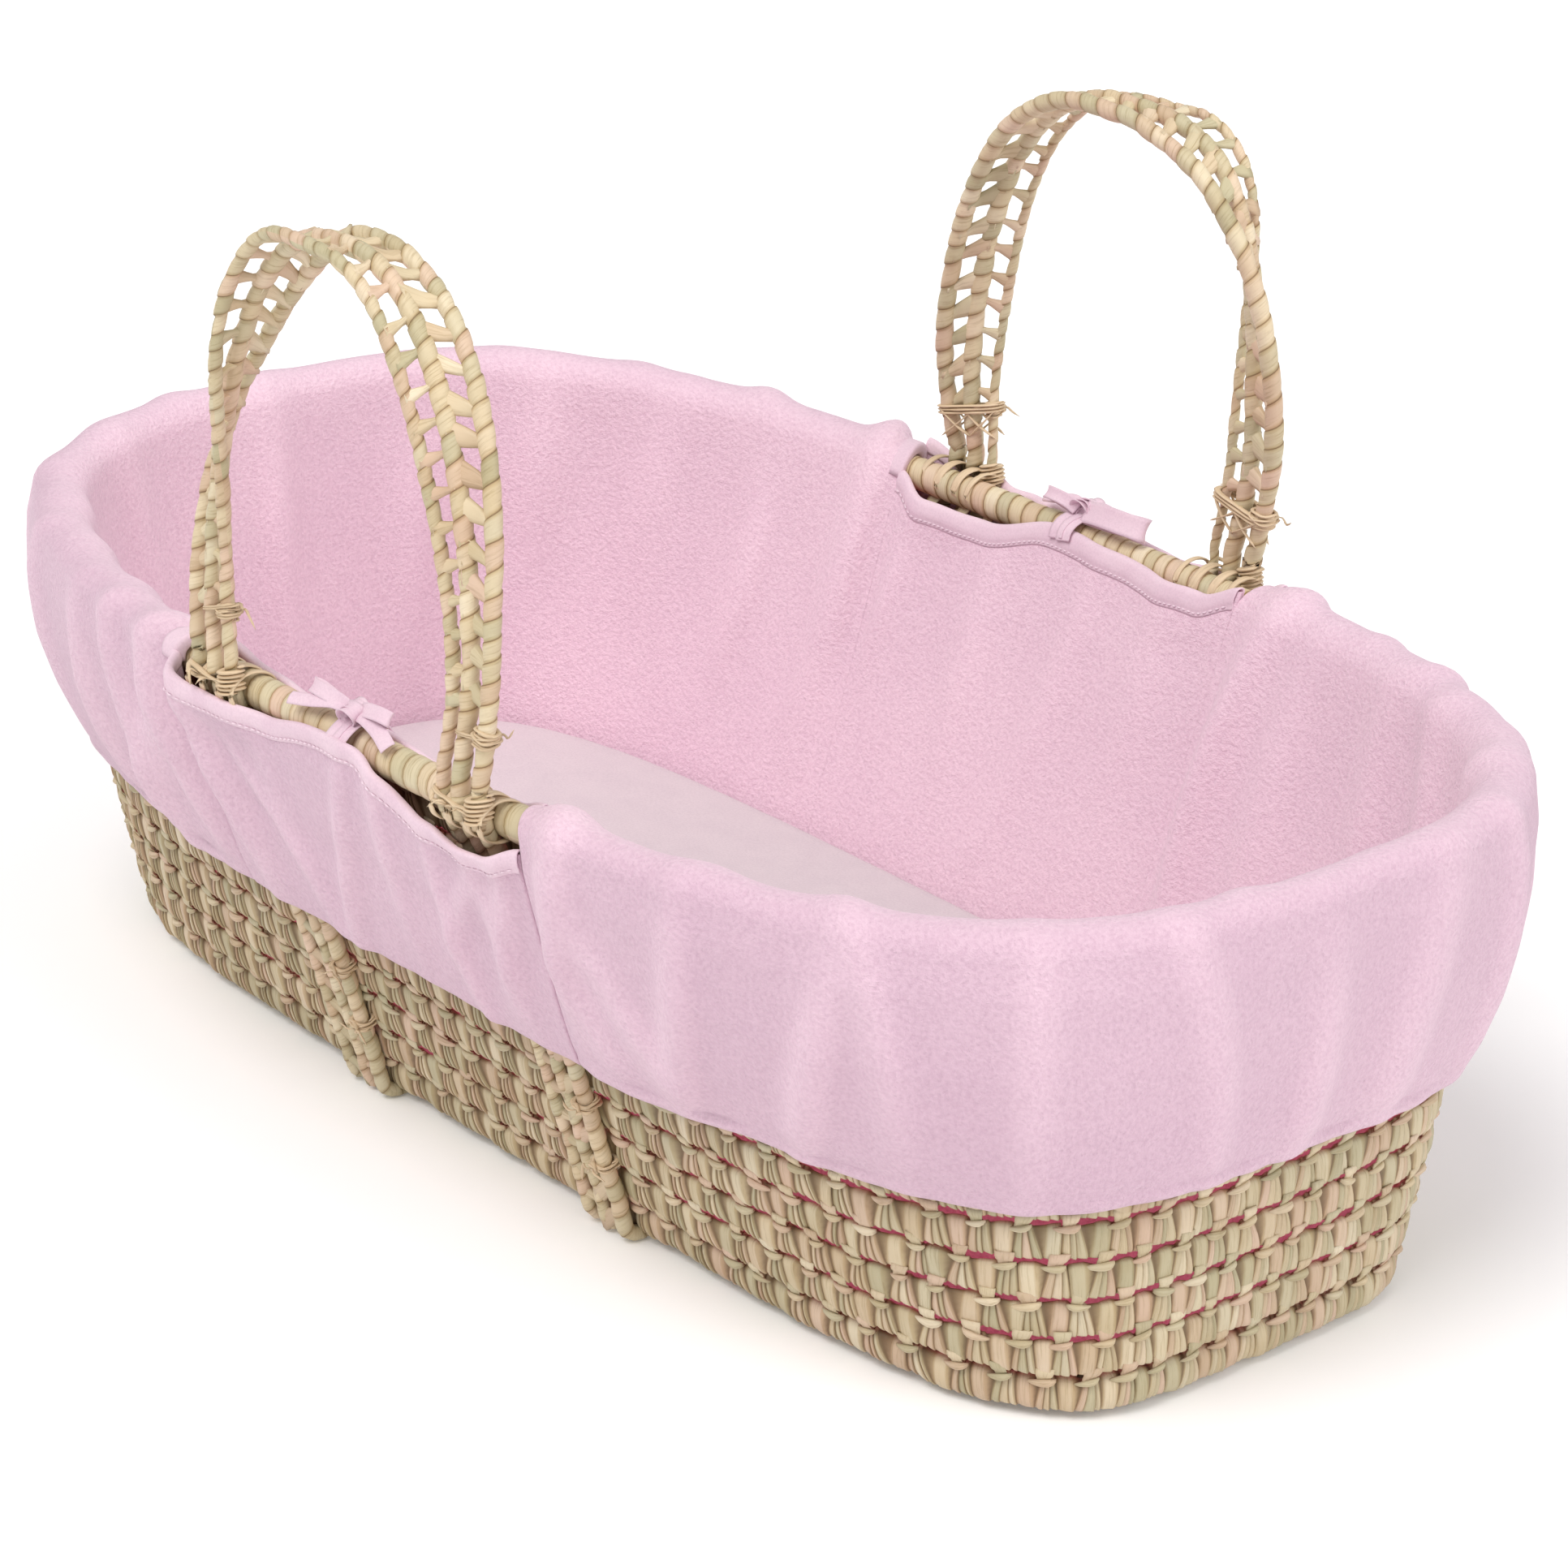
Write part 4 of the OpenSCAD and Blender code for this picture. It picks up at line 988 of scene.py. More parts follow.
def add_leg_band(parts, at, rise, across, spread, seed):
    """Raffia round all three cords of a leg, with strands that cross below it."""
    through = np.cross(rise, across)
    wide, deep = (CORD_APART * spread + 5 * MM), 5.4 * MM
    theta = np.linspace(0, 6 * math.pi, 130)
    cx = signed_power(np.cos(theta), 0.4)
    line = (at + (wide * cx)[:, None] * across + (deep * np.sin(theta))[:, None] * through
            + ((theta / math.pi - 3) * 0.9 * MM + 1.2 * MM * cx)[:, None] * rise)
    strand(parts, line, 1.9 * MM, seed, flat=0.36)
    for k, (start, end) in enumerate(((-0.9, 0.1), (0.2, -0.9), (-0.1, 0.9), (0.9, 0.0))):
        for face in (-1, 1):
            ends = [at + start * wide * across + face * deep * through,
                    at + mix(start, end, 0.5) * wide * across + face * (deep + 0.8 * MM) * through
                    - 8 * MM * rise,
                    at + end * wide * across + face * (deep - 0.6 * MM) * through - 15 * MM * rise]
            strand(parts, smooth_line(ends, 20), 1.1 * MM, seed + 2 + 2 * k + (face > 0), flat=0.5)


def build_handle(name, side, radii, seed):
    body = name + "_handle"
    line = handle_line(side)
    points, across = line[:, :3], line[:, 3:]
    for k, cord in enumerate(CORDS):
        parts = Parts()
        r = radii[cord]
        reach = CORDS[cord] * cord_spread(points[:, 2], side)
        wound_cord(parts, points + reach[:, None] * across, across, r, r,
                   WIND_PITCH * (1.1 if r > 3.6 * MM else 0.95), seed + 7 * k, around=14, spread=0.3,
                   lump=0.07)
        piece = finish_piece(parts.piece("%s_%s" % (body, cord), leaf_pale), None, "leaf_cord",
                             "%s_%s_cord" % (body, cord))
        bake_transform(piece)
    parts = Parts()
    laced(parts, line, radii, seed + 40, 16.5 * MM, 40 * MM, side)
    finish_piece(parts.piece(body + "_laces", leaf_pale), body, "leaf_lacing", body + "_lacing")
    parts = Parts()
    joined, at = resample(line, spacing=1.0 * MM)
    t_line = tangents(joined[:, :3])
    for k, s in enumerate((43 * MM, at[-1] - 47 * MM)):
        i = int(np.argmin(np.abs(at - s)))
        middle, side_way, along = joined[i, :3], joined[i, 3:], t_line[i]
        through = np.cross(along, side_way)
        cord = "inner" if k == 0 else "outer"
        r = radii[cord] + 0.9 * MM
        spread = cord_spread(middle[2], side)
        lashing_loops(parts, middle + CORDS[cord] * spread * side_way, along, side_way, through, r, r, 5,
                      seed + 60 + 13 * k, 1.1 * MM, 1.7 * MM)
        if side > 0:
            add_leg_band(parts, middle, along * (1 if k == 0 else -1), side_way, spread, seed + 90 + 20 * k)
        # a strand goes on to the middle cord
        theta = np.linspace(0, 4 * math.pi, 60)
        reach = (CORDS[cord] + CORDS["middle"]) / 2 * spread
        loop = (middle + (reach + 13.0 * MM * np.cos(theta))[:, None] * side_way
                + (5.0 * MM * np.sin(theta))[:, None] * through
                + (3.0 * MM * np.cos(theta) + 0.5 * MM * theta / math.pi)[:, None] * along)
        strand(parts, loop, 0.9 * MM, seed + 75 + k)
    finish_piece(parts.piece(body + "_raffia", raffia), body, "raffia", body + "_lashings")


# ---------------------------------------------------------------- rim coil and base mat

def build_rim():
    phi = phi_at(np.arange(1400) / 1400)
    at, _, _, outward = wall_frame(phi, np.full(1400, RIM_Z), np.zeros(1400))
    parts = Parts()
    r = RIM_R - 0.3 * MM
    wound_cord(parts, at, outward, r, r, 9.5 * MM, 31, closed=True, around=16, step=0.8, spread=0.3,
               lump=0.02)
    finish_piece(parts.piece("rim_winding", leaf_pale), "basket", "leaf_coil", "rim_coil")


def build_base_mat():
    """Flat coils that lie one inside the other; they sag between the straps that pass under them."""
    low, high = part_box("base_mat")
    coil = 9.5 * MM
    middle_z = (low.z + high.z) / 2 + 0.2 * MM
    parts = Parts()
    half_x, half_y = high.x - coil, high.y - coil
    ring = 0
    while half_y > coil:
        phi = np.linspace(0, 2 * math.pi, 1200, endpoint=False)
        c, s = np.cos(phi), np.sin(phi)
        rho = outline_reach(c, s, BASE_SQUARE)
        line = np.stack([half_x * c * rho, half_y * s * rho, np.full(1200, middle_z)], -1)
        line = resample(np.concatenate([line, line[:1]]), spacing=3 * MM)[0][:-1]
        across = np.cross(tangents(line, closed=True), (0, 0, 1.0))
        wound_cord(parts, line, across, coil - 0.7 * MM, 5.2 * MM, 11 * MM, 300 + ring, closed=True,
                   around=10, step=0.8, clamp=over_straps)
        half_x, half_y, ring = half_x - 2 * coil, half_y - 2 * coil, ring + 1
    reach = half_x + coil * 0.5
    line = np.stack([np.linspace(-reach, reach, 120), np.zeros(120), np.full(120, middle_z)], -1)
    across = np.broadcast_to(np.array([0, 1.0, 0]), line.shape)
    wound_cord(parts, line, across, half_y + coil - 0.9 * MM, 5 * MM, 11 * MM, 330, around=10, step=0.7,
               clamp=over_straps)
    finish_piece(parts.piece("base_coils", leaf), "basket", "leaf_coil", "base_mat")


# ---------------------------------------------------------------- fleece cover

FLEECE = 3.6 * MM
HEM = 116 * MM
NOTCH_X = 132 * MM
LINING_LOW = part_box("front_lining_flap")[0].z
LINING_OUT = -10 * MM
# the lining lies flat below this height, beside the mattress
FLAT_BELOW = 64 * MM
# where the two faces pass into the roll over the rim
LINING_TOP, SKIRT_TOP = 238 * MM, 239 * MM
SEAM_GAP = 0.08 * MM
ROLL_R = 9.8 * MM
# how far in from the hem and from a seam the cloth's edge is rounded
HEM_ROUND, SEAM_ROUND = FLEECE * 0.8, FLEECE * 0.45
# the share of its thickness that the fleece is pressed to under the tape
BOUND_SHARE = 0.72
SKIRT_HEIGHTS = np.array([116, 122, 135, 160, 190, 215, 229, 240, 250]) * MM
SKIRT_OUT = np.array([1.6, 3.4, 6.7, 10.7, 13, 12.9, 12.6, 10.6, 9.9]) * MM


def skirt_out(x, z):
    """How far the skirt's hidden face stands off the wall. It lifts over the straps."""
    over = 8 * MM * (1 - smooth_step((np.abs(x) - 140 * MM) / (70 * MM)))
    return np.interp(z, SKIRT_HEIGHTS, SKIRT_OUT) + over * np.clip(1 - (z - HEM) / (60 * MM), 0, 1)


def side_point(u, side, z, out):
    """Point of the wall by its share u of the half length: a line of one u follows the wall's slope."""
    n = squareness(z)
    v = np.maximum(0, 1 - np.abs(u) ** n) ** (1 / n)
    return np.stack(np.broadcast_arrays((half_size(0, z) + out) * u, side * (half_size(1, z) + out) * v,
                                        z * (1 + RISE * np.abs(u) ** 3)), -1)


def notch_edge(x, left, right):
    """Height of a notch's edge: up where it is tied in the middle, down at each leg, up at its corners."""
    ax = np.abs(x)
    height = mix(250 * MM, np.where(x < 0, left, right), smooth_step((ax - 9 * MM) / (50 * MM)))
    return height + 9 * MM * smooth_step((ax - 108 * MM) / (24 * MM))


# The lowest places of each notch's edge, on the head side and on the foot side
NOTCH_LOW = {(-1, True): (241 * MM, 229 * MM), (-1, False): (248 * MM, 244 * MM),
             (1, True): (248 * MM, 246 * MM), (1, False): (238 * MM, 247 * MM)}


def spread_of(start, stop, spacing, edge):
    """Places between two edges, closer together next to each so that the edge can be rounded."""
    inner = np.linspace(start + 1.5 * edge, stop - 1.5 * edge, max(3, int((stop - start) / spacing)))
    near = np.array([0, 0.06, 0.25, 0.6, 1.05]) * edge
    return np.concatenate([start + near, inner, stop - near[::-1]])


def edge_taper(distance, reach):
    t = np.clip(distance / reach, 0, 1)
    return np.sqrt(np.maximum(1 - (1 - t) ** 2, 0.004))


class Folds:
    """Soft folds in cloth: each is a ridge with its own place, lean, width and height."""

    def __init__(self, seed, start, stop, spacing, tall, wide, lean):
        rng = np.random.default_rng(seed)
        at, places = start + rng.uniform(0.2, 0.8) * spacing[0], []
        while at < stop:
            places.append(at)
            at += rng.uniform(*spacing)
        n = len(places)
        self.at = np.array(places)
        self.tall = rng.uniform(*tall, n)
        self.wide = rng.uniform(*wide, n)
        self.lean = rng.normal(0, lean, n)
        self.bow = rng.normal(0, 0.9, n)
        self.level = rng.uniform(150, 205, n) * MM
        self.reach = rng.uniform(45, 95, n) * MM

    def extra(self, *values):
        """One more fold: its place, height, width, lean, level and reach."""
        for name, value in zip(("at", "tall", "wide", "lean", "level", "reach", "bow"), (*values, 0.0)):
            setattr(self, name, np.append(getattr(self, name), value))

    def __call__(self, s, z):
        s, z = np.broadcast_arrays(s, z)
        total = np.zeros(s.shape)
        for k in range(len(self.at)):
            dz = z - self.level[k]
            line = self.at[k] + self.lean[k] * dz + self.bow[k] * dz ** 2
            total += self.tall[k] * hill(s - line, self.wide[k]) * np.exp(-(dz / self.reach[k]) ** 2 * 0.8)
        return total


def to_seam(distance):
    """Cloth on both sides of a seam meets at the same height."""
    return smooth_step(distance / (15 * MM))


def cloth_shell(name, seen, hidden, materials, backed=None, shade=None):
    """A closed sheet between two grids of points. The second material, a crimson with painted shade and glow,
    is on the hidden face where backed says so for each column, and shade gives the painted shade of the pile
    at each point."""
    a, b = seen.shape[:2]
    face = grid_quads(a, b)
    index = np.arange(a * b).reshape(a, b)
    border = np.concatenate([np.stack([line[:-1], line[1:], line[1:] + a * b, line[:-1] + a * b], -1)
                             for line in (index[0], index[-1][::-1], index[:, -1], index[:, 0][::-1])])
    verts = np.concatenate([seen.reshape(-1, 3), hidden.reshape(-1, 3)])
    # the border's quads must run against the face they meet
    used = {tuple(pair) for k in range(4) for pair in face[:, [k, (k + 1) % 4]].tolist()}
    border = np.array([q[::-1] if (q[0], q[1]) in used else q for q in border.tolist()])
    quads = np.concatenate([face, border, face[:, ::-1] + a * b])
    if signed_volume(verts, quads) < 0:
        quads = quads[:, ::-1]
    backed = np.zeros(b - 1) if backed is None else backed
    slots = np.concatenate([np.zeros(len(face) + len(border)), np.tile(backed, a - 1)])
    shade = np.zeros((a, b)) if shade is None else shade
    return make_piece(name, verts, quads, materials, slots=slots, shade=np.concatenate([shade, shade]))


def painted_pile_shade(lift, on_lining):
    """Painted shade of the pile: darker at the bottom of the folds, and a little darker all over the skirt's
    outside than on the lining.
    """
    deep = 1 - smooth_step(lift / (5 * MM))
    return mix(0.52 + 0.32 * deep, 0.14 * deep, on_lining)


def end_cover(name, end, seed, skirt_folds, lining_folds):
    """The cover round one end: up the lining, over the rim and down the skirt. end is 1 for the foot and -1
    for the head."""
    lining_z = spread_of(LINING_LOW, LINING_TOP, 4.5 * MM, FLEECE)[:-4]
    turn = np.radians(np.linspace(176, 4, 15))
    skirt_z = spread_of(HEM, SKIRT_TOP, 3.2 * MM, FLEECE)[::-1][4:]
    z = np.concatenate([lining_z, RIM_Z + ROLL_R * np.sin(turn), skirt_z])

    def profile(in_lining, over_rim, in_skirt):
        """A value for each point of the cover's section."""
        return np.concatenate([np.zeros(len(lining_z)) + in_lining, np.zeros(len(turn)) + over_rim,
                               np.zeros(len(skirt_z)) + in_skirt])
    fixed_out = profile(LINING_OUT, ROLL_R * np.cos(turn), 0)
    out_dir = profile(-1, np.cos(turn), 1)
    up_dir = profile(0, np.sin(turn), 0)
    on_lining = profile(1, (1 - np.cos(turn)) / 2, 0)
    is_skirt = profile(0, 0, 1)
    from_low = profile(lining_z - LINING_LOW, 1, skirt_z - HEM)

    def corner(z):
        n = squareness(np.minimum(z, RIM_Z))
        u = (NOTCH_X + SEAM_GAP) / RIM_HALF[0]
        return np.arctan2((1 - u ** n) ** (1 / n), u)
    edge_phi = corner(RIM_Z)
    half = np.interp(edge_phi, LOOP_PHI, LOOP_S)
    s = spread_of(-half, half, 3.1 * MM, FLEECE)
    phi = np.interp(s, LOOP_S, LOOP_PHI)[:, None] * (corner(z) / edge_phi)[None]
    from_seam = half - np.abs(s)
    x = half_size(0, z)[None] * np.cos(phi)
    hem_wave = wander(seed, 2 * half, 0.016, 1.0 * MM, False)(s)
    hem_drop = wander(seed + 1, 2 * half, 0.05, 1.3 * MM, False)(s)
    at_s, at_z = s[:, None], z[None]
    on_skirt = 1 - on_lining
    near_hem = hill(at_z - HEM, 17 * MM) * is_skirt
    lift = on_skirt * skirt_folds(at_s, at_z) * (0.45 + 0.55 * smooth_step((at_z - HEM) / (26 * MM)))
    lift = lift + on_lining * lining_folds(at_s, at_z) * smooth_step((at_z - FLAT_BELOW) / (22 * MM))
    gathers = np.abs(hem_wave)[:, None] * 1.5 * near_hem
    turned = np.clip(0.6 + wander(seed + 4, 2 * half, 0.02, 0.9, False)(s), 0.1, 1.4)[:, None]
    stitch = -0.9 * MM * turned * hill(at_z - HEM - 9 * MM, 1.8 * MM) * is_skirt
    lift = lift + 1.2 * MM * turned * hill(at_z - HEM - 4 * MM, 4 * MM) * is_skirt
    ripple = wander(seed + 2, 2 * half, 0.028, 0.5 * MM, False)(s)[:, None] * (0.6 + 0.4 * on_skirt)
    lift = (lift + gathers + stitch
            + np.maximum(ripple, -0.2 * MM) * smooth_step((at_z - FLAT_BELOW) / (20 * MM)))
    lift = np.maximum(lift, 0) * to_seam(from_seam)[:, None] + np.minimum(stitch, 0)
    at_seam = mix(edge_taper(from_seam[:, None], SEAM_ROUND), 1, on_lining)
    thick = FLEECE * edge_taper(from_low[None], HEM_ROUND) * at_seam
    base = np.where(is_skirt > 0, skirt_out(x, at_z), fixed_out[None])
    low = hem_drop[:, None] * near_hem

    def surface(offset):
        points = wall(phi, at_z + up_dir * offset, base + out_dir * offset)
        points[..., 2] += low
        return points * (end, end, 1)
    # the lining's hidden face gets the crimson with painted shade and glow
    backed = on_lining[:-1] == 1
    piece = cloth_shell(name, surface(lift + (FLEECE + thick) / 2), surface(lift + (FLEECE - thick) / 2),
                        [fleece, fleece_back], backed, painted_pile_shade(lift, on_lining))
    finish_piece(piece, "basket", "pink_fleece", name.replace("_fleece", "_cover"))
    if end < 0:
        head_corner_tape(half, corner(z) / edge_phi, z, up_dir, out_dir, base[0])
    return piece


def head_corner_tape(half, follow, z, up_dir, out_dir, base):
    """Cotton tape over the free edges of the head's cover, where it passes over the rim beside each notch.
    follow says how the cover's edge shifts at each height."""
    free = (z > 236 * MM) & ((up_dir > 0) | (out_dir > 0))
    follow, z, up_dir, out_dir, base = (a[free] for a in (follow, z, up_dir, out_dir, base))
    # across the tape: how far from the cover's edge, and how far off its hidden face
    round_edge = np.linspace(math.pi / 2, -math.pi / 2, 7)
    beyond = np.concatenate([np.linspace(-9, -0.4, 6), 0.5 + 1.9 * np.cos(round_edge), [-1.2, -2.4]]) * MM
    off = np.concatenate([np.full(6, 4.2), 1.9 + 2.3 * np.sin(round_edge), [-0.4, -0.4]]) * MM
    grow = 0.9 * MM * np.concatenate([np.ones(6), np.sin(round_edge) * 0.5 + 0.5, [0, 0]])
    tapes = Parts()
    for sign in (-1, 1):
        phi = np.interp(sign * (half + beyond), LOOP_S, LOOP_PHI)[:, None] * follow[None]

        def surface(extra):
            depth = (off + extra)[:, None]
            return wall(phi, z[None] + up_dir[None] * depth, base[None] + out_dir[None] * depth) * (-1, -1, 1)
        seen, hidden = surface(grow), surface(grow - 0.8 * MM)
        a, b = seen.shape[:2]
        index = np.arange(2 * a * b).reshape(2 * a, b)
        caps = []
        for column in (0, b - 1):
            for k in range(a - 1):
                cap = index[[k, k + 1, 2 * a - 2 - k, 2 * a - 1 - k], column]
                caps.append(cap if column else cap[::-1])
        quads = np.concatenate([grid_quads(2 * a, b, close_rows=True), caps])
        tapes.add(np.concatenate([seen, hidden[::-1]]), quads)
    piece = finish_piece(tapes.piece("head_corner_tape", cotton), "basket", "pink_cotton")


class Side:
    """One face of the cover along a side: the skirt outside the wall or the lining inside it."""

    def __init__(self, side, skirt, folds, seed):
        self.side, self.skirt, self.folds = side, skirt, folds
        self.low_z = HEM if skirt else LINING_LOW
        self.notch = NOTCH_LOW[side, skirt]
        span = 2 * NOTCH_X
        self.wave = wander(seed, span, 0.018, 0.8 * MM, False)
        self.pucker = wander(seed + 1, span, 0.009, 0.32 * MM, False)

    def edge(self, x):
        return notch_edge(x, *self.notch) + self.wave(x) * 0.8

    def lift(self, x, z):
        fade = smooth_step((z - FLAT_BELOW) / (22 * MM))
        return np.maximum(self.folds(x, z), 0) * fade * to_seam(NOTCH_X - np.abs(x))

    def point(self, x, z, offset):
        """offset is the distance from the hidden face towards the seen one."""
        u = x / RIM_HALF[0]
        lift = self.lift(x, z)
        # the cloth passes over the straps and their lashings
        over = np.exp(-((np.abs(x) - STRAP_X) / (27 * MM)) ** 4) * smooth_step((z - 212 * MM) / (24 * MM))
        if self.skirt:
            gathers = np.abs(self.wave(x)) * hill(z - HEM, 15 * MM)
            out = skirt_out(x, z) + lift + gathers + offset + 8 * MM * over
        else:
            out = LINING_OUT - lift - offset - 2.5 * MM * over
        return side_point(u, self.side, z, out)


def flap(name, face):
    """The fleece of one face of a side, from its hem or lower edge up to the notch."""
    reach = NOTCH_X - SEAM_GAP
    x = spread_of(-reach, reach, 3.0 * MM, FLEECE)
    t = spread_of(0.0, 1.0, 0.028 if face.skirt else 0.018, FLEECE / (110 * MM))
    edge = face.edge(x) - 1.2 * MM
    z = mix(face.low_z, edge[:, None], t[None])
    thick = FLEECE * edge_taper((z - face.low_z), HEM_ROUND)
    if face.skirt:
        thick = thick * edge_taper((reach - np.abs(x))[:, None], SEAM_ROUND)
    thick = thick * mix(1.0, BOUND_SHARE, smooth_step(1 - (edge[:, None] - z) / (9 * MM)))
    middle = FLEECE / 2
    x = np.broadcast_to(x[:, None], z.shape)
    backed = np.full(z.shape[1] - 1, not face.skirt)
    piece = cloth_shell(name, face.point(x, z, middle + thick / 2), face.point(x, z, middle - thick / 2),
                        [fleece, fleece_back], backed, painted_pile_shade(face.lift(x, z), float(not face.skirt)))
    finish_piece(piece, "basket", "pink_fleece", name.replace("_fleece", "_flap"))


# how far below the notch's edge the tape is sewn through
SEWN = 8.6 * MM


def binding(edge_name, face):
    """Cotton tape folded over the notch's edge and sewn through near its own edge."""
    reach = NOTCH_X - 0.4 * MM
    x = spread_of(-reach, reach, 2.4 * MM, 0.8 * MM)
    half = FLEECE * BOUND_SHARE / 2 + 0.25 * MM
    width, back, tape = 10.5 * MM, 6 * MM, 1.0 * MM
    down_seen = np.linspace(-width, -half, 9)
    turn = np.linspace(0, math.pi, 9)[1:-1]
    down_back = np.linspace(-half, -back, 4)
    dz = np.concatenate([down_seen, -half + half * np.sin(turn), down_back])
    off = np.concatenate([np.full(9, half), half * np.cos(turn), np.full(4, -half)])
    nz = np.concatenate([np.zeros(9), np.sin(turn), np.zeros(4)])
    no = np.concatenate([np.ones(9), np.cos(turn), -np.ones(4)])
    path = np.concatenate([[0], np.cumsum(np.hypot(np.diff(dz), np.diff(off)))])
    taper = (edge_taper(np.minimum(path, path[-1] - path), 0.5 * MM)[None]
             * edge_taper((reach - np.abs(x))[:, None], 0.5 * MM))
    edge = face.edge(x)[:, None]
    puff = 0.5 * MM * hill(dz + 4.5 * MM, 2.4 * MM) * (no > 0) - 0.6 * MM * hill(dz + SEWN, 0.9 * MM)
    pucker = face.pucker(x)[:, None] * hill(dz + 8 * MM, 3 * MM)[None]
    grid_x = np.broadcast_to(x[:, None], (len(x), len(dz)))

    def surface(extra):
        return face.point(grid_x, edge + dz + nz * extra, FLEECE / 2 + off + no * (extra + puff + pucker))
    piece = cloth_shell(edge_name + "_tape", surface(tape * (0.5 + taper / 2) + 0.1 * MM),
                        surface(tape * (0.5 - taper / 2) + 0.1 * MM), [cotton])
    finish_piece(piece, "basket", "pink_cotton", edge_name + "_binding")
    stitches = Parts()
    start = np.arange(-reach + 2 * MM, reach - 4 * MM, 3.4 * MM)
    steps = np.linspace(0, 2.3 * MM, 4)
    sx = start[:, None] + steps[None]
    line = face.point(sx, face.edge(sx) - SEWN, FLEECE / 2 + half + tape + 0.25 * MM)
    ring = np.arange(6) / 6 * 2 * math.pi
    size = np.array([0.35, 1, 1, 0.35]) * 0.5 * MM
    along = unit(line[:, -1] - line[:, 0])[:, None]
    out = np.broadcast_to(np.array([0, face.side * (1.0 if face.skirt else -1.0), 0.0]), along.shape)
    up = np.cross(along, out)
    sink = np.array([-0.3, 0.05, 0.05, -0.3]) * MM
    rings = (line[:, :, None] + (size[:, None] * np.cos(ring))[None, ..., None] * up[:, :, None]
             + (size[:, None] * np.sin(ring) + sink[:, None])[None, ..., None] * out[:, :, None])
    ring_tube(stitches, rings, 7000 + np.arange(len(start)), 0.3)
    finish_piece(stitches.piece(edge_name + "_stitches", cotton_thread), "basket", "pink_cotton")


def build_cover():
    for end, name, seed in ((1, "foot_end_fleece", 40), (-1, "head_end_fleece", 41)):
        half = 0.40
        skirt = Folds(seed, -half, half, (0.038, 0.074), (4.0 * MM, 8.5 * MM), (9 * MM, 15 * MM), 0.16)
        lining = Folds(seed + 20, -half, half, (0.045, 0.09), (4.0 * MM, 8.0 * MM), (12 * MM, 20 * MM), 0.10)
        for sign in (-1, 1):
            # a puffed fold next to each seam, with the cloth pulled towards the notch's corner
            skirt.extra(sign * (half - 0.020), 8.5 * MM, 11 * MM, -sign * 0.18, 205 * MM, 60 * MM)
            skirt.extra(sign * (half - 0.055), 6.0 * MM, 14 * MM, sign * 0.5, 165 * MM, 42 * MM)
            lining.extra(sign * (half - 0.03), 5.0 * MM, 13 * MM, 0.0, 180 * MM, 75 * MM)
        end_cover(name, end, seed + 3, skirt, lining)
    for side, word in ((-1, "front"), (1, "back")):
        tall = (3.0 * MM, 6.5 * MM)
        folds = Folds(60 + side, -NOTCH_X, NOTCH_X, (0.034, 0.06), tall, (7 * MM, 11 * MM), 0.2)
        for sign in (-1, 1):
            folds.extra(sign * 0.108, 6.0 * MM, 9 * MM, sign * 0.25, 185 * MM, 45 * MM)
            folds.extra(sign * 0.078, 4.0 * MM, 8 * MM, sign * 0.6, 190 * MM, 34 * MM)
        lining_folds = Folds(64 + side, -NOTCH_X, NOTCH_X, (0.05, 0.1), tall, (12 * MM, 20 * MM), 0.1)
        for face, kind in ((Side(side, True, folds, 70 + side), "skirt"),
                           (Side(side, False, lining_folds, 80 + side), "lining")):
            flap("%s_%s_fleece" % (word, kind), face)
            binding("%s_%s" % (word, kind), face)


# ---------------------------------------------------------------- bows

TAPE_THICK = 0.7 * MM


def ribbon(parts, points, width, normal, strip, curl=0.6 * MM):
    """A flat tape along a line; normal is its face's direction, given for each of the points."""
    joined = np.concatenate([np.asarray(points, float), np.asarray(normal, float)], -1)
    line = smooth_line(joined, 48)
    at, face = line[:, :3], line[:, 3:]
    t = tangents(at)
    face = unit(face - t * (face * t).sum(-1, keepdims=True))
    side = np.cross(t, face)
    k = np.linspace(-1, 1, 7)
    bend = curl * k ** 2
    top, low = (at[:, None] + (width / 2 * x)[:, None] * side[:, None] + off[:, None] * face[:, None]
                for x, off in ((k, bend + TAPE_THICK / 2), (k[::-1], bend[::-1] - TAPE_THICK / 2)))
    ring_tube(parts, np.concatenate([top, low], 1)[None], np.array([strip]), 1.0)


# Each bow's loops and tails: which way along the rim, how long, how high, how far out and how wide, in mm
BOW_LOOPS = {-1: [(-1, 34, 4.0, 3.0, 7.5), (1, 25, 5.5, 2.0, 7.5)],
             1: [(1, 47, 3.0, 4.0, 12.5), (-1, 26, 3.5, 2.5, 7.0)]}
BOW_TAILS = {-1: [(-1, 40, 0.5, 8, 7.0), (1, 34, -2.0, 5, 8.0)],
             1: [(-1, 36, -1.0, 4, 6.5), (1, 27, -4.0, 7, 9.0)]}


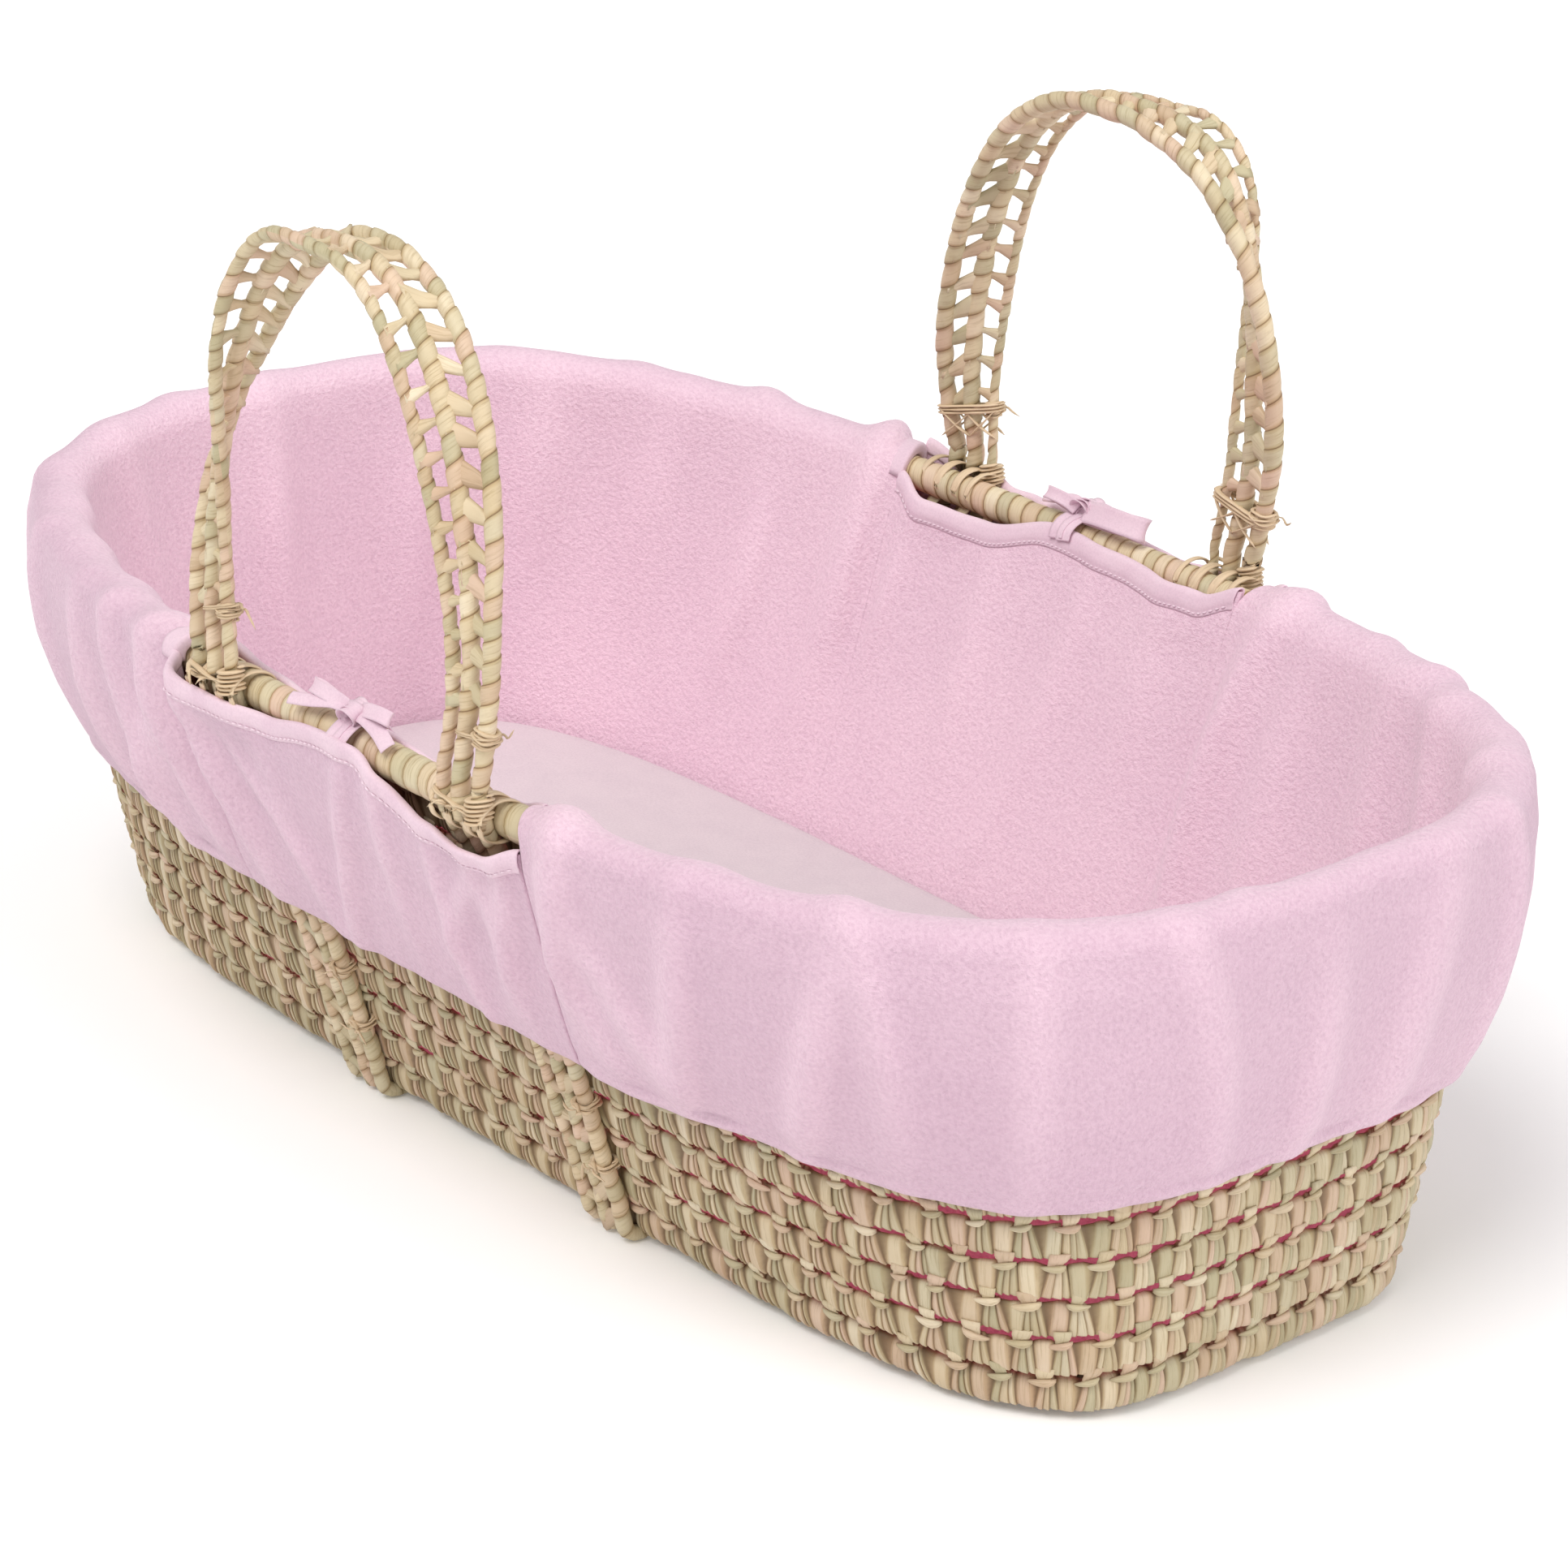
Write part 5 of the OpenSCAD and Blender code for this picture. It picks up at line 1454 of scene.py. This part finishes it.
def build_bow(word, side):
    parts = Parts()
    mid_y = half_size(1, RIM_Z)
    top_z = RIM_Z + RIM_R + 1.0 * MM

    def at(x, y, z):
        """x along the rim, y outward from the rim coil's middle, z above its top, in mm."""
        return (x * MM, side * (mid_y + y * MM), top_z + z * MM)
    # two turns of tape round the rim coil and both bound edges
    for k, x in enumerate((-2.6, 2.8)):
        a = np.linspace(0.06 * math.pi, 0.94 * math.pi, 9)
        ring = [at(x + 1.6 * math.sin(2 * t), 15.8 * math.cos(t), -10 + 12.2 * math.sin(t)) for t in a]
        face = [(0, side * math.cos(t), math.sin(t)) for t in a]
        ribbon(parts, ring, 9.5 * MM, face, strip=8000 + k)
    # the knot, as three folded turns
    for k in range(3):
        a = np.linspace(0, 2 * math.pi, 11)
        tilt = 0.7 - 0.55 * k
        ring = [at(5.8 * math.cos(t) * (1 - 0.1 * k) + tilt * 3 * math.sin(t),
                   (3.0 - k) + 4.4 * math.sin(t) * tilt, 5.2 + 4.6 * math.sin(t)) for t in a]
        face = [(math.cos(t), side * 0.2, math.sin(t)) for t in a]
        ribbon(parts, ring, (9.5 - k) * MM, face, strip=8010 + k, curl=1.2 * MM)
    # the loops stand on edge, so that their broad faces are seen from the foot of the basket
    for k, (sign, long, rise, out, wide) in enumerate(BOW_LOOPS[side]):
        loop = [at(sign * 3, -side * 1, 5.5), at(sign * long * 0.35, -side * out, 6.5 + 0.6 * rise),
                at(sign * long * 0.75, -side * out * 1.1, 6 + rise),
                at(sign * long, -side * out * 0.4, 5 + rise),
                at(sign * long * 0.92, side * out * 0.5, 5 + rise * 0.7),
                at(sign * long * 0.5, side * 1.2, 5.5), at(sign * 3, 0, 5)]
        face = [(0, -0.8, 0.6)] * 3 + [(sign, -0.1, 0.2)] + [(0, 0.8, -0.5)] * 3
        ribbon(parts, loop, wide * MM, face, strip=8020 + k, curl=0.7 * MM)
    for k, (sign, long, drop, out, wide) in enumerate(BOW_TAILS[side]):
        tail = [at(sign * 2.5, 2, 5.5), at(sign * long * 0.3, 4, 8),
                at(sign * long * 0.65, out, 5.5 + drop * 0.3), at(sign * long, out + 3, 3 + drop)]
        face = [(0, -0.5, 1), (0, -0.6, 1), (sign * 0.2, -0.7, 0.8), (sign * 0.2, -0.7, 0.8)]
        ribbon(parts, tail, wide * MM, face, strip=8030 + k, curl=-0.8 * MM)
    piece = finish_piece(parts.piece(word + "_bow", cotton), "basket", "pink_cotton", word + "_tie")


# ---------------------------------------------------------------- mattress

def mattress_shell(name, material, low, high, inner, corner, crown):
    """A soft flat block that follows the basket's plan. inner is how far it lies inside the sheet."""
    around = 2.0
    count = 420
    turns = np.arange(count) / count
    phi = phi_at(turns)
    c, s = np.cos(phi), np.sin(phi)
    lining_in = LINING_OUT - FLEECE - 0.3 * MM

    def outline(z, inset):
        rho = outline_reach(c, s, squareness(z) - 0.25)
        inset = inset + inner
        return np.stack([(half_size(0, z) + lining_in - inset) * c * rho,
                         (half_size(1, z) + lining_in - inset) * s * rho], -1)
    waves = ((77, 0.06, 1.0), (78, 0.02, 1.0), (90, 0.12, 0.25 * MM))
    sway, crinkle, soft = (wander(seed, around, shortest, amplitude)(turns * around)
                           for seed, shortest, amplitude in waves)
    # each level of the side: its height, how far it is set in, and how much of the ripple it has
    foot = 8 * MM
    levels = [(low, 30 * MM, 0), (low, foot, 0)]
    levels += [(low + foot * (1 - math.cos(a)), foot * (1 - math.sin(a)), 0.2)
               for a in np.linspace(0.5, math.pi / 2, 5)]
    levels += [(z, 0.0, 1.0) for z in np.linspace(low + foot + 4 * MM, high - corner, 6)]
    levels += [(high - corner * (1 - math.sin(a)), corner * (1 - math.cos(a)), 0.7)
               for a in np.linspace(0.25, 1.35, 6)]
    rings = []
    for z, inset, ripple in levels:
        shift = (0.35 * sway + 0.25 * crinkle) * MM * ripple
        plan = outline(min(z, high - corner), inset + 0.6 * MM - np.minimum(shift, 0.3 * MM))
        rings.append(np.concatenate([plan, np.full((count, 1), z)], -1))
    plan_edge = outline(high - corner, corner)
    for shrink in np.linspace(1, 0.03, 34):
        dome = crown * (1 - shrink ** 2) ** 0.8
        level = high + dome + (soft * shrink * (1 - shrink)) * 2
        rings.append(np.concatenate([plan_edge * shrink, level[:, None]], -1))
    parts = Parts()
    top = (len(rings) - 1) * count
    parts.add(np.concatenate(rings), grid_quads(len(rings), count, close_cols=True),
              [list(range(count)), list(range(top + count - 1, top - 1, -1))])
    return parts.piece(name, material)


def build_mattress():
    low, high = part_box("fitted_sheet")
    sheet = mattress_shell("sheeted_mattress", sheet_cotton, low.z + 0.2 * MM, high.z + 0.1 * MM, 0, 11 * MM,
                           2.6 * MM)
    finish_piece(sheet, "mattress", "sheet_cotton", "fitted_sheet")
    core = mattress_shell("foam_core", foam, low.z + 1.6 * MM, high.z - 1.2 * MM, 1.4 * MM, 10 * MM, 2.4 * MM)
    finish_piece(core, "mattress", "foam", "mattress_foam")


# ---------------------------------------------------------------- the whole basket

leaf = leaf_material("dry_palm_leaf", LEAF_TONES)
leaf_pale = leaf_material("pale_palm_leaf", LEAF_TONES, 1.12)
raffia = leaf_material("raffia", [(0, (0.74, 0.58, 0.40)), (1, (0.66, 0.52, 0.36))], 1.05)
fleece = fleece_material("pink_fleece", (0.945, 0.695, 0.795), (0.825, 0.575, 0.685))
# painted shade and light: the lining's hidden face, seen through the gaps in the wall, gets a deep crimson
# and a glow in place of its shade and the pink light that bounces there
fleece_back = fleece_material("fleece_back", (0.80, 0.19, 0.29), (0.62, 0.12, 0.20), glow=0.34)
cotton = woven_material("pink_cotton", (0.80, 0.61, 0.69), (0.76, 0.56, 0.65))
cotton_thread = woven_material("sewing_thread", (0.86, 0.70, 0.77), (0.80, 0.62, 0.70))
sheet_cotton = woven_material("sheet_cotton", (0.665, 0.585, 0.605), (0.64, 0.56, 0.585))
elastic = woven_material("covered_elastic", (0.78, 0.58, 0.68), (0.70, 0.50, 0.61), 1.2 * MM, 0.6)
foam = fleece_material("open_foam", (0.86, 0.83, 0.74), (0.74, 0.70, 0.60), 0.6)


def dress_node(node, material):
    """A CAD node that keeps its own shape gets its material."""
    for slot in bpy.data.objects[node].material_slots:
        slot.material = material


add_camera()
add_studio()
build_wall()
build_straps()
build_handle("front", -1, {"outer": 4.0 * MM, "middle": 4.2 * MM, "inner": 3.2 * MM}, 700)
build_handle("back", 1, {"outer": 4.5 * MM, "middle": 4.5 * MM, "inner": 2.4 * MM}, 900)
build_rim()
build_base_mat()
build_cover()
build_bow("front", -1)
build_bow("back", 1)
build_mattress()
dress_node("hem_elastic", elastic)
